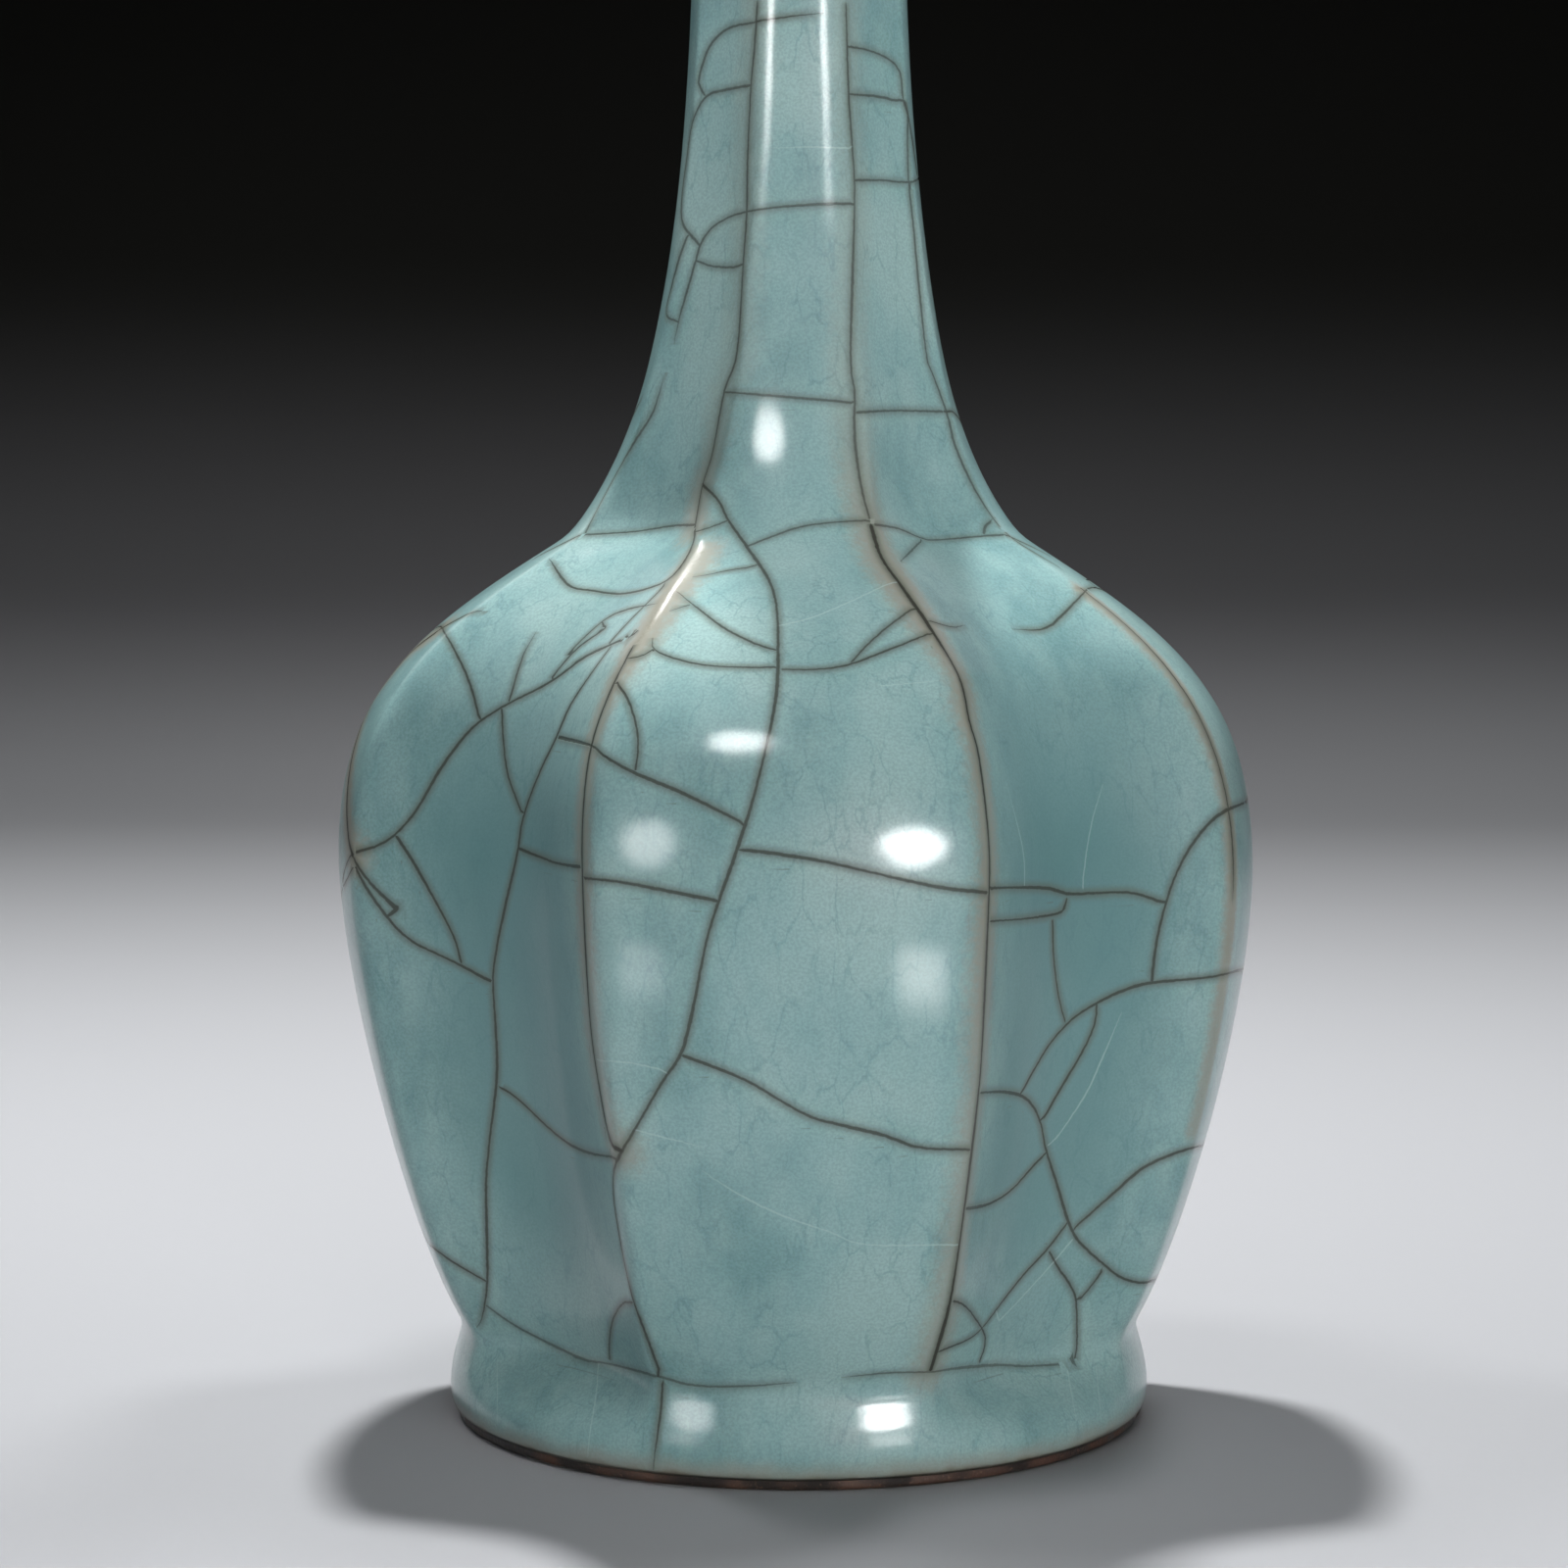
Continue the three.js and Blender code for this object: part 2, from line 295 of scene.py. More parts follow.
def panelled(sheet, given, angle, level, ridge, height):
    """The place of a point and how far it lies in a flute, from its angle and its row."""
    def change(start, end, low, high):
        return sheet.ramp(level, start, end, 0.0, given[high] - given[low])

    bulge = (given["Waist bulge"]
             + change(FOOT_TOP, WIDEST, "Waist bulge", "Body bulge")
             + change(given["Flute full below"], given["Facets from"], "Body bulge", "Neck bulge"))
    flute = (given["Waist flute"]
             + change(FOOT_TOP, given["Flute full above"], "Waist flute", "Body flute")
             + change(given["Flute full below"], CREASE, "Body flute", "Shoulder flute")
             + change(CREASE, given["Facets from"], "Shoulder flute", "Neck flute"))
    local = sheet.math("WRAP", angle, HALF_PANEL, -HALF_PANEL)
    panel = sheet.math("FLOOR", (angle + HALF_PANEL) / (2 * HALF_PANEL))
    hollow = sheet.math("MODULO", panel, 2)
    slope = sheet.math("TANGENT", local) / math.tan(HALF_PANEL)
    crown = 1.0 - slope * slope
    depth = (1.0 - hollow) * bulge - hollow * flute
    straight = ridge * math.cos(HALF_PANEL) / sheet.math("COSINE", local)
    foot_round = sheet.ramp(level, given["Round below"], FOOT_TOP, 1.0, 0.0)
    lip_round = sheet.ramp(level, MOUTH_JOINT, TOTAL_HEIGHT, 0.0, given["Lip roundness"])
    roundness = sheet.math("MAXIMUM", foot_round, lip_round)
    radius = (straight + depth * crown) * (1.0 - roundness) + ridge * roundness
    radius = radius * (1.0 - sheet.math("LESS_THAN", ridge, TINY))

    turned = angle + sheet.ramp(level, CREASE, given["Facets from"], 0.0, given["Neck turn"])
    phase = sheet.math("MINIMUM", (level - given["Sway start"]) / given["Sway height"], 2.0)
    phase = sheet.math("MAXIMUM", phase, 0.0)
    sway = given["Sway"] * sheet.math("COSINE", phase * math.pi)
    place = sheet.out("ShaderNodeCombineXYZ", {
        "X": radius * sheet.math("SINE", turned) + sway,
        "Y": radius * (sheet.math("COSINE", turned) * -1), "Z": height})
    return place, hollow * (crown * (flute / given["Body flute"])) * (1.0 - roundness)


print(PANELS, "panels with", len(PANEL_SIZES), "sizes")

# %% [markdown]
# A Geometry Nodes tree applies the rule, because every skin of the vase follows it. The tree takes a
# closed outline, gives it a row for each point, turns it about the axis and sets each point by the
# rule. The rows meet again at the start, so the doubles are merged.
# %% A grid wrapped round the outline


def stored(sheet, name):
    return sheet.out("GeometryNodeInputNamedAttribute", {"Name": name}, "Attribute",
                     data_type="FLOAT")


def wrapped_grid(sheet, given, place):
    """A grid set by the rule, which keeps how hollow and how soft each point is."""
    outline = sheet.out("GeometryNodeObjectInfo", {"Object": given["Outline"]}, "Geometry")
    rows = sheet.out("GeometryNodeAttributeDomainSize", {"Geometry": outline}, "Point Count")
    across, along, _ = sheet.split(place)
    row = sheet.math("MODULO", sheet.math("ROUND", (along + 0.5) * rows), rows)
    angle = (across + 0.5) * (2 * math.pi) + HALF_PANEL

    def sampled(kind, value):
        """A value of the outline's point at this row."""
        return sheet.out("GeometryNodeSampleIndex",
                         {"Geometry": outline, "Value": value, "Index": row},
                         data_type=kind, domain="POINT")

    level, softness = (sampled("FLOAT", stored(sheet, name)) for name in ("level", "softness"))
    ridge, _, height = sheet.split(sampled("FLOAT_VECTOR", place))
    final, hollowness = panelled(sheet, given, angle, level, ridge, height)
    shape = sheet.out("GeometryNodeMeshGrid", {
        "Size X": 1.0, "Size Y": 1.0, "Vertices X": given["Columns"] + 1, "Vertices Y": rows + 1})
    for name, value in (("hollow", hollowness), ("softness", softness)):
        shape = sheet.out("GeometryNodeStoreNamedAttribute",
                          {"Geometry": shape, "Name": name, "Value": value},
                          data_type="FLOAT", domain="POINT")
    shape = sheet.out("GeometryNodeSetPosition", {"Geometry": shape, "Position": final})
    shape = sheet.out("GeometryNodeMergeByDistance", {"Geometry": shape, "Distance": TINY})
    faceless = sheet.out("FunctionNodeCompare",
                         {"A": sheet.out("GeometryNodeInputMeshEdgeNeighbors")},
                         data_type="INT", operation="EQUAL")
    return sheet.out("GeometryNodeDeleteGeometry", {"Geometry": shape, "Selection": faceless},
                     domain="EDGE")


print("a row is", round(math.degrees(2 * HALF_PANEL)), "degrees from ridge to ridge")

# %% [markdown]
# Glaze rounds every ridge it runs over, so a blur softens them. A slow noise makes the glaze uneven by
# a tenth of a millimetre, which breaks up the reflections.
# %% The tree that sweeps an outline


def softened(sheet, given, place, shape):
    """The shape with blurred ridges and slow waves, on its face but not on its back."""
    softness = stored(sheet, "softness")
    blurred = sheet.out("GeometryNodeBlurAttribute",
                        {"Value": place, "Iterations": given["Softening"]}, data_type="FLOAT_VECTOR")
    eased = sheet.out("ShaderNodeMix", {0: softness, 4: place, 5: blurred}, 1, data_type="VECTOR")
    shape = sheet.out("GeometryNodeSetPosition", {"Geometry": shape, "Position": eased})
    waves = sheet.out("ShaderNodeTexNoise", {
        "Scale": sheet.math("DIVIDE", 1.0, given["Unevenness size"]), "Detail": 2.0})
    lift = (waves - 0.5) * (given["Unevenness"] * 2) * softness
    outward = sheet.out("ShaderNodeVectorMath",
                        {0: sheet.out("GeometryNodeInputNormal"), "Scale": lift}, operation="SCALE")
    return sheet.out("GeometryNodeSetPosition", {"Geometry": shape, "Offset": outward})


def panel_tree():
    tree = bpy.data.node_groups.new("panelled_sweep", "GeometryNodeTree")
    sockets = {"Geometry": "Geometry", "Outline": "Object", "Columns": "Int", "Softening": "Int",
               "Finish": "Material", **dict.fromkeys(PANEL_SIZES, "Float")}
    for name, kind in sockets.items():
        tree.interface.new_socket(name, in_out="INPUT", socket_type="NodeSocket" + kind)
    tree.interface.new_socket("Geometry", in_out="OUTPUT", socket_type="NodeSocketGeometry")
    sheet = Sheet(tree)
    given = sheet.outs("NodeGroupInput")
    place = sheet.out("GeometryNodeInputPosition")
    shape = softened(sheet, given, place, wrapped_grid(sheet, given, place))
    shape = sheet.out("GeometryNodeSetShadeSmooth", {"Geometry": shape})
    shape = sheet.out("GeometryNodeRealizeInstances", {"Geometry": shape})
    shape = sheet.out("GeometryNodeSetMaterial", {"Geometry": shape, "Material": given["Finish"]})
    sheet.node("NodeGroupOutput", {"Geometry": shape})
    return tree


PANEL_TREE = panel_tree()
print("the panel rule takes", len(PANEL_TREE.nodes), "nodes")

# %% [markdown]
# Each skin is a closed loop of the outline, so it has a front, a back and edges, as a coat of glaze
# has. A loop is handed to the tree as a small object of points and edges, and the tree's result
# becomes a plain mesh.
# %% Turning a closed outline into a skin


def faces_outwards(mesh):
    """Whether the faces of a closed mesh enclose a positive volume."""
    shell = bmesh.new()
    shell.from_mesh(mesh)
    volume = shell.calc_volume(signed=True)
    shell.free()
    return volume > 0


def swept(name, parts, columns, softening, finish):
    """A skin from the stretches of a closed outline, each with how far its ridges are softened."""
    loop = np.vstack([np.column_stack([rows, np.full(len(rows), soft)]) for rows, soft in parts])
    outline = bpy.data.meshes.new(name + "_outline")
    outline.from_pydata([(radius, 0, height) for radius, height, _, _ in loop],
                        [(i, (i + 1) % len(loop)) for i in range(len(loop))], [])
    for key, column in (("level", 2), ("softness", 3)):
        carried = outline.attributes.new(key, "FLOAT", "POINT")
        carried.data.foreach_set("value", np.ascontiguousarray(loop[:, column], np.float32))
    guide = placed(name + "_outline", outline)
    holder = placed(name + "_holder", bpy.data.meshes.new(name + "_holder"))
    rule = holder.modifiers.new("panels", "NODES")
    rule.node_group = PANEL_TREE
    sockets = {item.name: item.identifier for item in PANEL_TREE.interface.items_tree
               if item.in_out == "INPUT"}
    for key, value in {"Outline": guide, "Columns": columns, "Softening": softening,
                       "Finish": finish, **PANEL_SIZES}.items():
        rule[sockets[key]] = value
    bpy.context.view_layer.update()
    ready = holder.evaluated_get(bpy.context.evaluated_depsgraph_get())
    mesh = bpy.data.meshes.new_from_object(ready)
    mesh.name = name
    piece = placed(name, mesh)
    for helper in (holder, guide):
        bpy.data.objects.remove(helper)
    triangles = sum(len(face.vertices) - 2 for face in mesh.polygons)
    print(f"{name}: {len(loop)} rows, {triangles} triangles, faces",
          "outwards" if faces_outwards(mesh) else "INWARDS")
    return piece


print("skins are swept by", PANEL_TREE.name)

# %% [markdown]
# The outer glaze climbs from the foot over the lip and ends inside the mouth, as a dipped coat does.
# Its back is never seen, so the rows there lie further apart than on its face.
# %% The outer glaze
OUTER_COLUMNS, INNER_COLUMNS, BASE_COLUMNS, RING_COLUMNS = 360, 192, 128, 256
SOFTENING = 2
FACE_GAP, BACK_GAP, CREASE_GAP = 1.75 * MM, 12 * MM, 1.8 * MM
GAP_AT_BEND, GAP_GROWTH = 1.2 * MM, 0.55
LAP_HEIGHT = TOTAL_HEIGHT - 7 * MM
LIP_TURNS = 12
face, back = inset(0.0), inset(GLAZE)
mouth_face, mouth_back = inset(INNER_FACE, -1), inset(INNER_BACK, -1)


def over_the_lip(outside, inside):
    """A half circle of rows over the lip, between the top rows of its outer and its inner face."""
    middle, arm_out = (outside + inside) / 2, (outside - inside) / 2
    up = np.array([-arm_out[1], arm_out[0], 0])
    turns = np.linspace(0, math.pi, LIP_TURNS + 1)[1:-1, None]
    rows = middle + arm_out * np.cos(turns) + up * np.sin(turns)
    rows[:, 2] = outside[2] + rows[:, 1] - outside[1]
    return rows


def eased(rows):
    """The path with rows wide apart, but close together by the two creases, where it turns."""
    steps, length = lengths_along(rows)
    bends = np.interp([FOOT_TOP, CREASE], rows[:, 1], length)
    gap = GAP_AT_BEND + GAP_GROWTH * np.abs(length[:, None] - bends).min(1)
    count = np.concatenate([[0], np.cumsum(steps / np.clip(gap, CREASE_GAP, BACK_GAP)[1:])])
    return at_marks(np.linspace(0, count[-1], round(count[-1]) + 1), count, rows)


celadon = bpy.data.materials.new("celadon_glaze_skin")
outer_glaze = swept("outer_glaze_skin", [
    (spaced(above(face, GLAZE_EDGE), FACE_GAP), 1),
    (over_the_lip(face[-1], mouth_face[-1]), 1),
    (spaced(above(mouth_face, LAP_HEIGHT), FACE_GAP)[::-1], 1),
    (spaced(above(mouth_back, LAP_HEIGHT), FACE_GAP), 0),
    (over_the_lip(back[-1], mouth_back[-1])[::-1], 0),
    (eased(above(back, GLAZE_EDGE))[::-1], 0),
], OUTER_COLUMNS, SOFTENING, celadon)

# %% [markdown]
# The crackle is what one sees first. A crack in a glaze starts where the coat is under most strain,
# along the ridges and creases, and later cracks run into earlier ones and stop there. The lines of
# the front were read off the photograph, each as a few pixels of the 1600 pixel picture, and
# are cast from the lens onto the glaze. Lines that stained dark, fine ones and colourless ones are
# kept apart.
# %% The lines of the neck, as pixels of the photograph
NECK_LINES = {
    "front left ridge": [(773, -2), (770, 46), (766, 92), (763, 161), (762, 216), (758, 275),
                         (752, 360), (739, 400), (727, 463), (717, 495), (709, 539)],
    "front right ridge": [(863, -2), (866, 96), (870, 156), (872, 208), (868, 360), (872, 400),
                          (872, 444), (878, 492), (888, 533)],
    "front upper": [(762, 216), (796, 211), (847, 208), (872, 208)],
    "front lower": [(739, 400), (803, 405), (872, 411)],
    "right lower": [(873, 421), (912, 419), (966, 420)],
    "left hook": [(770, 23), (743, 29), (725, 46), (716, 69), (713, 85), (720, 99)],
    "left cross": [(766, 87), (739, 92), (720, 99), (707, 124), (701, 161), (696, 200),
                   (696, 225), (704, 239), (713, 248)],
    "left bow": [(762, 216), (743, 222), (725, 234), (715, 249), (710, 266), (702, 294),
                 (693, 326), (686, 360)],
    "left twig": [(710, 266), (729, 272), (752, 273)],
    "left inner": [(702, 239), (693, 264), (685, 294), (680, 321), (693, 329)],
    "left side": [(679, 380), (666, 421), (648, 450), (621, 498), (596, 546)],
    "right upper": [(865, 47), (888, 52), (909, 62), (919, 76), (921, 99), (925, 108)],
    "right middle": [(866, 96), (892, 98), (911, 102), (925, 107), (926, 147), (927, 186)],
    "right cross": [(872, 184), (897, 184), (927, 186), (938, 182)],
    "right side": [(927, 186), (932, 230), (936, 275), (945, 360), (951, 380), (966, 421),
                   (975, 456), (994, 498), (1014, 530), (1026, 543)],
}
CREASE_LINES = {
    "left": [(594, 546), (644, 543), (685, 537), (709, 536)],
    "left of front": [(709, 543), (723, 539), (743, 531)],
    "front": [(762, 558), (784, 549), (816, 538), (851, 533), (888, 531)],
    "right": [(888, 535), (915, 539), (940, 549), (956, 551), (1004, 547), (1026, 546)],
    "right fork": [(940, 552), (918, 574)],
    "right tip": [(1004, 546), (1006, 536), (1015, 530)],
}
print(len(NECK_LINES) + len(CREASE_LINES), "lines on the neck and its crease")

# %% The dark lines of the body
BODY_LINES = {
    "shoulder sweep": [(709, 540), (708, 551), (701, 568), (685, 589), (663, 600), (634, 606),
                       (605, 603), (580, 597), (560, 570)],
    "front left ridge": [(646, 659), (621, 710), (603, 764), (595, 831), (595, 911), (602, 1039),
                         (612, 1112), (623, 1164), (634, 1174)],
    "front right ridge": [(888, 533), (899, 568), (921, 600), (950, 642), (979, 692), (989, 736),
                          (999, 774), (1009, 863), (1008, 940), (1002, 1070), (997, 1128),
                          (984, 1233), (970, 1325), (959, 1367), (949, 1400)],
    "great arc": [(717, 495), (733, 511), (743, 531), (762, 558), (789, 603), (794, 664),
                  (790, 723), (770, 809), (751, 870), (723, 952), (705, 1039), (694, 1077),
                  (677, 1102), (655, 1140), (634, 1176), (627, 1192), (626, 1217), (630, 1249),
                  (639, 1297), (647, 1329), (661, 1367), (674, 1402)],
    "left side ridge": [(448, 643), (420, 665), (391, 700), (372, 732), (359, 774), (354, 819),
                        (356, 857), (361, 876)],
    "left valley": [(624, 659), (605, 685), (582, 720), (568, 752), (550, 790), (534, 834),
                    (528, 870), (515, 927), (506, 972), (503, 1003), (506, 1054), (507, 1099),
                    (500, 1160), (496, 1207), (497, 1271), (497, 1310), (492, 1345), (484, 1357)],
    "left long": [(640, 650), (617, 661), (595, 672), (560, 697), (519, 718), (490, 736),
                  (471, 755), (448, 787), (426, 825), (405, 850), (385, 863), (361, 870)],
    "left to great arc": [(568, 752), (603, 761), (617, 772), (648, 789), (691, 807), (729, 825),
                          (758, 840)],
    "left low branch": [(362, 883), (375, 908), (401, 943), (423, 962), (468, 984), (503, 1003)],
    "left bow": [(405, 854), (423, 882), (445, 921), (463, 956), (471, 984)],
    "left panel cross": [(597, 896), (633, 900), (675, 908), (731, 919)],
    "left flute cross": [(530, 866), (550, 874), (570, 881), (595, 885)],
    "left flute low": [(507, 1107), (528, 1121), (559, 1150), (582, 1168), (604, 1177), (630, 1181)],
    "front cross": [(753, 867), (783, 870), (840, 879), (884, 889), (957, 905), (1008, 911)],
    "front low cross": [(696, 1077), (726, 1088), (764, 1104), (821, 1137), (862, 1149),
                        (900, 1158), (939, 1171), (990, 1173)],
    "right cross": [(1010, 906), (1065, 906), (1091, 912), (1123, 911), (1155, 911), (1187, 921)],
    "right side bow": [(1270, 819), (1244, 831), (1222, 854), (1203, 885), (1190, 921),
                       (1180, 962), (1175, 1002)],
    "right side cross": [(1268, 989), (1234, 997), (1174, 1003), (1148, 1010), (1120, 1023),
                         (1094, 1040), (1072, 1064), (1056, 1090), (1041, 1117)],
    "right leaf": [(1119, 1023), (1117, 1045), (1104, 1074), (1085, 1106), (1062, 1146)],
    "right branch": [(999, 1115), (1022, 1114), (1042, 1118), (1054, 1129), (1062, 1147),
                     (1067, 1172), (1078, 1207), (1091, 1249), (1102, 1268), (1126, 1290),
                     (1143, 1303), (1163, 1309), (1179, 1306)],
    "right low bow": [(1230, 1168), (1201, 1176), (1166, 1192), (1137, 1217), (1094, 1255)],
    "right low twig": [(1067, 1177), (1054, 1190), (1032, 1214), (1010, 1228), (984, 1234)],
    "foot crease left": [(496, 1332), (528, 1354), (575, 1378), (598, 1388), (623, 1392),
                         (674, 1405), (703, 1413), (738, 1415), (783, 1413), (819, 1410)],
    "foot crease right": [(855, 1406), (907, 1401), (947, 1400), (978, 1396), (1016, 1393),
                          (1051, 1394), (1097, 1391)],
}
print(len(BODY_LINES), "dark lines on the body")

# %% The fine lines and the colourless ones
FINE_LINES = {
    "shoulder a": [(704, 589), (720, 587), (739, 583), (765, 579)],
    "shoulder b": [(690, 603), (707, 617), (739, 641), (771, 657), (794, 664)],
    "shoulder c": [(704, 617), (679, 625)],
    "shoulder d": [(666, 648), (667, 662), (688, 672), (720, 679), (758, 681), (794, 681)],
    "shoulder e": [(667, 662), (656, 669), (644, 672)],
    "shoulder f": [(794, 683), (835, 683), (867, 678), (902, 665), (950, 646)],
    "shoulder g": [(868, 677), (886, 657), (908, 638), (934, 619)],
    "left flute a": [(580, 667), (599, 648), (621, 630), (644, 621), (672, 616)],
    "left flute b": [(580, 681), (602, 667), (628, 656), (644, 651)],
    "left flute c": [(676, 600), (644, 632), (621, 657)],
    "right flute a": [(950, 634), (972, 640), (988, 637)],
    "right shoulder": [(1032, 642), (1058, 643), (1071, 639), (1080, 632), (1110, 601)],
    "left panel a": [(452, 643), (468, 672), (480, 700), (490, 736)],
    "left panel b": [(550, 640), (534, 669), (523, 704), (519, 718)],
    "left panel c": [(617, 642), (589, 662), (563, 691)],
    "left panel d": [(512, 724), (514, 761), (519, 793), (533, 831)],
    "front left nick": [(629, 697), (640, 713), (648, 736), (651, 758), (649, 788)],
    "left edge": [(350, 905), (361, 884)],
    "left low edge": [(438, 1270), (464, 1289), (497, 1308)],
    "foot left bow": [(645, 1329), (636, 1330), (626, 1345), (622, 1367), (622, 1389)],
    "right second": [(1008, 940), (1040, 938), (1075, 933), (1086, 927), (1089, 913)],
    "right drop": [(1074, 937), (1075, 975), (1080, 1016), (1087, 1043)],
    "right low a": [(1088, 1249), (1070, 1273), (1045, 1300), (1022, 1329), (1003, 1354),
                    (987, 1367), (955, 1380)],
    "right low b": [(1069, 1274), (1080, 1294), (1091, 1310), (1098, 1329), (1099, 1383)],
    "right low c": [(1126, 1294), (1115, 1310), (1099, 1329)],
    "foot right bow": [(971, 1327), (984, 1332), (997, 1348), (1005, 1364), (1003, 1380),
                       (998, 1392)],
    "foot line": [(676, 1408), (674, 1440), (669, 1475), (666, 1507)],
}
COLOURLESS_LINES = {
    "shoulder": [(797, 638), (829, 630), (867, 614), (910, 594)],
    "front top": [(899, 700), (963, 694)],
    "front left": [(611, 1082), (646, 1085), (680, 1093)],
    "front low left": [(655, 1155), (687, 1163), (722, 1172)],
    "front long": [(714, 1193), (751, 1217), (795, 1239), (846, 1257), (885, 1270), (978, 1270)],
    "right a": [(1145, 1032), (1126, 1077), (1107, 1118), (1077, 1163)],
    "right b": [(1126, 799), (1113, 844), (1104, 904)],
    "right c": [(1027, 799), (1043, 863), (1046, 901)],
    "right d": [(1092, 1268), (1067, 1297), (1035, 1332), (1016, 1351)],
    "foot a": [(610, 1396), (609, 1418), (602, 1463), (599, 1494)],
    "foot b": [(507, 1386), (508, 1456)],
    "foot c": [(1089, 1396), (1099, 1456)],
    "foot d": [(1118, 1389), (1124, 1456)],
    "neck": [(787, 151), (825, 150), (867, 151)],
}
print(len(FINE_LINES), "fine lines,", len(COLOURLESS_LINES), "colourless ones")

# %% [markdown]
# A line becomes a row of points one millimetre apart on the glaze. Pixels are cast from the lens, and
# places given by an azimuth and a height are cast from beside the vase. A path through a few keys is
# made smooth first, as a crack never has corners of its own.
# %% Laying a line on the glaze
STEP = 1.0 * MM
CAST_FROM = 0.2
glaze_mesh = outer_glaze.data
GLAZE_FACES = BVHTree.FromPolygons([corner.co for corner in glaze_mesh.vertices],
                                   [tuple(face.vertices) for face in glaze_mesh.polygons])
LENS = camera.matrix_world.copy()


def seen_at(across, down):
    """The point of the glaze that the lens sees at a pixel, or None beside the vase."""
    ray = Vector((across - PHOTO_SIDE / 2, PHOTO_SIDE / 2 - down, -FOCAL_PIXELS)).normalized()
    return GLAZE_FACES.ray_cast(LENS.translation, LENS.to_3x3() @ ray)[0]


def on_wall(degrees, height):
    """The point of the outside at an azimuth from the front, towards +X, and a height."""
    out = Vector((math.sin(math.radians(degrees)), -math.cos(math.radians(degrees)), 0))
    return GLAZE_FACES.ray_cast(out * CAST_FROM + Vector((0, 0, height)), -out)[0]


def smooth_path(keys, parts=9):
    """A smooth path through a few key points of the plane."""
    keys = np.array(keys, float)
    padded = np.vstack([2 * keys[0] - keys[1], keys, 2 * keys[-1] - keys[-2]])
    path = []
    for a, b, c, d in zip(padded, padded[1:], padded[2:], padded[3:]):
        for t in np.linspace(0, 1, parts, endpoint=False):
            path.append(0.5 * (2 * b + (c - a) * t + (2 * a - 5 * b + 4 * c - d) * t**2
                               + (3 * b - a - 3 * c + d) * t**3))
    return path + [keys[-1]]


def laid(keys, cast):
    """Points a step apart on the glaze, from key points and the way to cast them."""
    spots = np.array([hit for hit in (cast(*key) for key in smooth_path(keys)) if hit is not None])
    length = np.concatenate([[0], np.cumsum(np.linalg.norm(np.diff(spots, axis=0), axis=1))])
    rows = at_marks(np.arange(0, length[-1], STEP), length, spots)
    return [GLAZE_FACES.find_nearest(Vector(row))[0] for row in rows]


print("lines are cast on", len(glaze_mesh.polygons), "faces")

# %% The lines of the photograph on the glaze
# Half widths in millimetres
DARK_HALF, FINE_HALF, CLEAR_HALF = 0.20, 0.14, 0.12
# The share of the half width, and how dark the line is, for each kind of dark line
LINE_LOOKS = {"neck": (0.95, 0.85), "body": (1.12, 1.0), "ridge": (1.6, 1.2), "foot": (1.12, 0.75)}
lines = []


def keep_line(points, half_width, stain, thinned=0.0):
    """Keeps a line with its looks, and the reach of the thin glaze beside it, as a share."""
    lines.append({"points": points, "half": half_width, "stain": stain, "thinned": thinned})


def kind_of(group, name):
    if group is not BODY_LINES:
        return "neck"
    return next((kind for kind in ("ridge", "foot") if kind in name), "body")


for group in (NECK_LINES, CREASE_LINES, BODY_LINES):
    for name, keys in group.items():
        width_share, line_stain = LINE_LOOKS[kind_of(group, name)]
        keep_line(laid(keys, seen_at), DARK_HALF * width_share, line_stain, float("ridge" in name))
for keys in FINE_LINES.values():
    keep_line(laid(keys, seen_at), FINE_HALF * LINE_LOOKS["body"][0], 1.0)
for keys in COLOURLESS_LINES.values():
    keep_line(laid(keys, seen_at), CLEAR_HALF, 0.0)
print(len(lines), "lines from the photograph,",
      round(sum(len(line["points"]) for line in lines) * STEP, 2), "m long together")

# %% [markdown]
# Off the photograph the lines are grown: a tip walks over the glaze in small steps, bends a little as
# it goes and stops when it meets another line, which is how real crackle comes to its three-way
# corners. Small cubes of space remember the lines that pass them, so that a tip can feel what is near.
# %% Growing the lines that the photograph doesn't show
CRACKLE_SEED = 8
chance = random.Random(CRACKLE_SEED)
MEETING, CUBE = 1.2 * MM, 2 * MM
TIP_WANDER, BEND_KEPT = 0.006, 0.97
# A tip feels nothing at first, as it leaves a line, and may only start inside the picture
BLIND_STEPS, STEPS_IN_VIEW, SHORTEST = 5, 12, 10
SEEN_TO_AZIMUTH, SEEN_TO_HEIGHT = 84, 258 * MM
EDGE_MARGIN = 3 * MM
FINE_STAIN = 0.8
taken = {}


def cell_of(spot):
    return tuple(int(math.floor(value / CUBE)) for value in spot)


def note(points):
    """Marks the cubes that a line passes."""
    for spot in points:
        taken.setdefault(cell_of(spot), []).append(spot)


def met(spot):
    """The nearest noted point that a tip touches, or None."""
    x, y, z = cell_of(spot)
    near = [other for i in (-1, 0, 1) for j in (-1, 0, 1) for k in (-1, 0, 1)
            for other in taken.get((x + i, y + j, z + k), ()) if (other - spot).length < MEETING]
    return min(near, key=lambda other: (other - spot).length) if near else None


def azimuth_of(spot):
    return math.degrees(math.atan2(spot.x, -spot.y))


def unseen(spot):
    """Whether a place is off the photograph, behind the vase or above its upper edge."""
    return abs(azimuth_of(spot)) > SEEN_TO_AZIMUTH or spot.z > SEEN_TO_HEIGHT


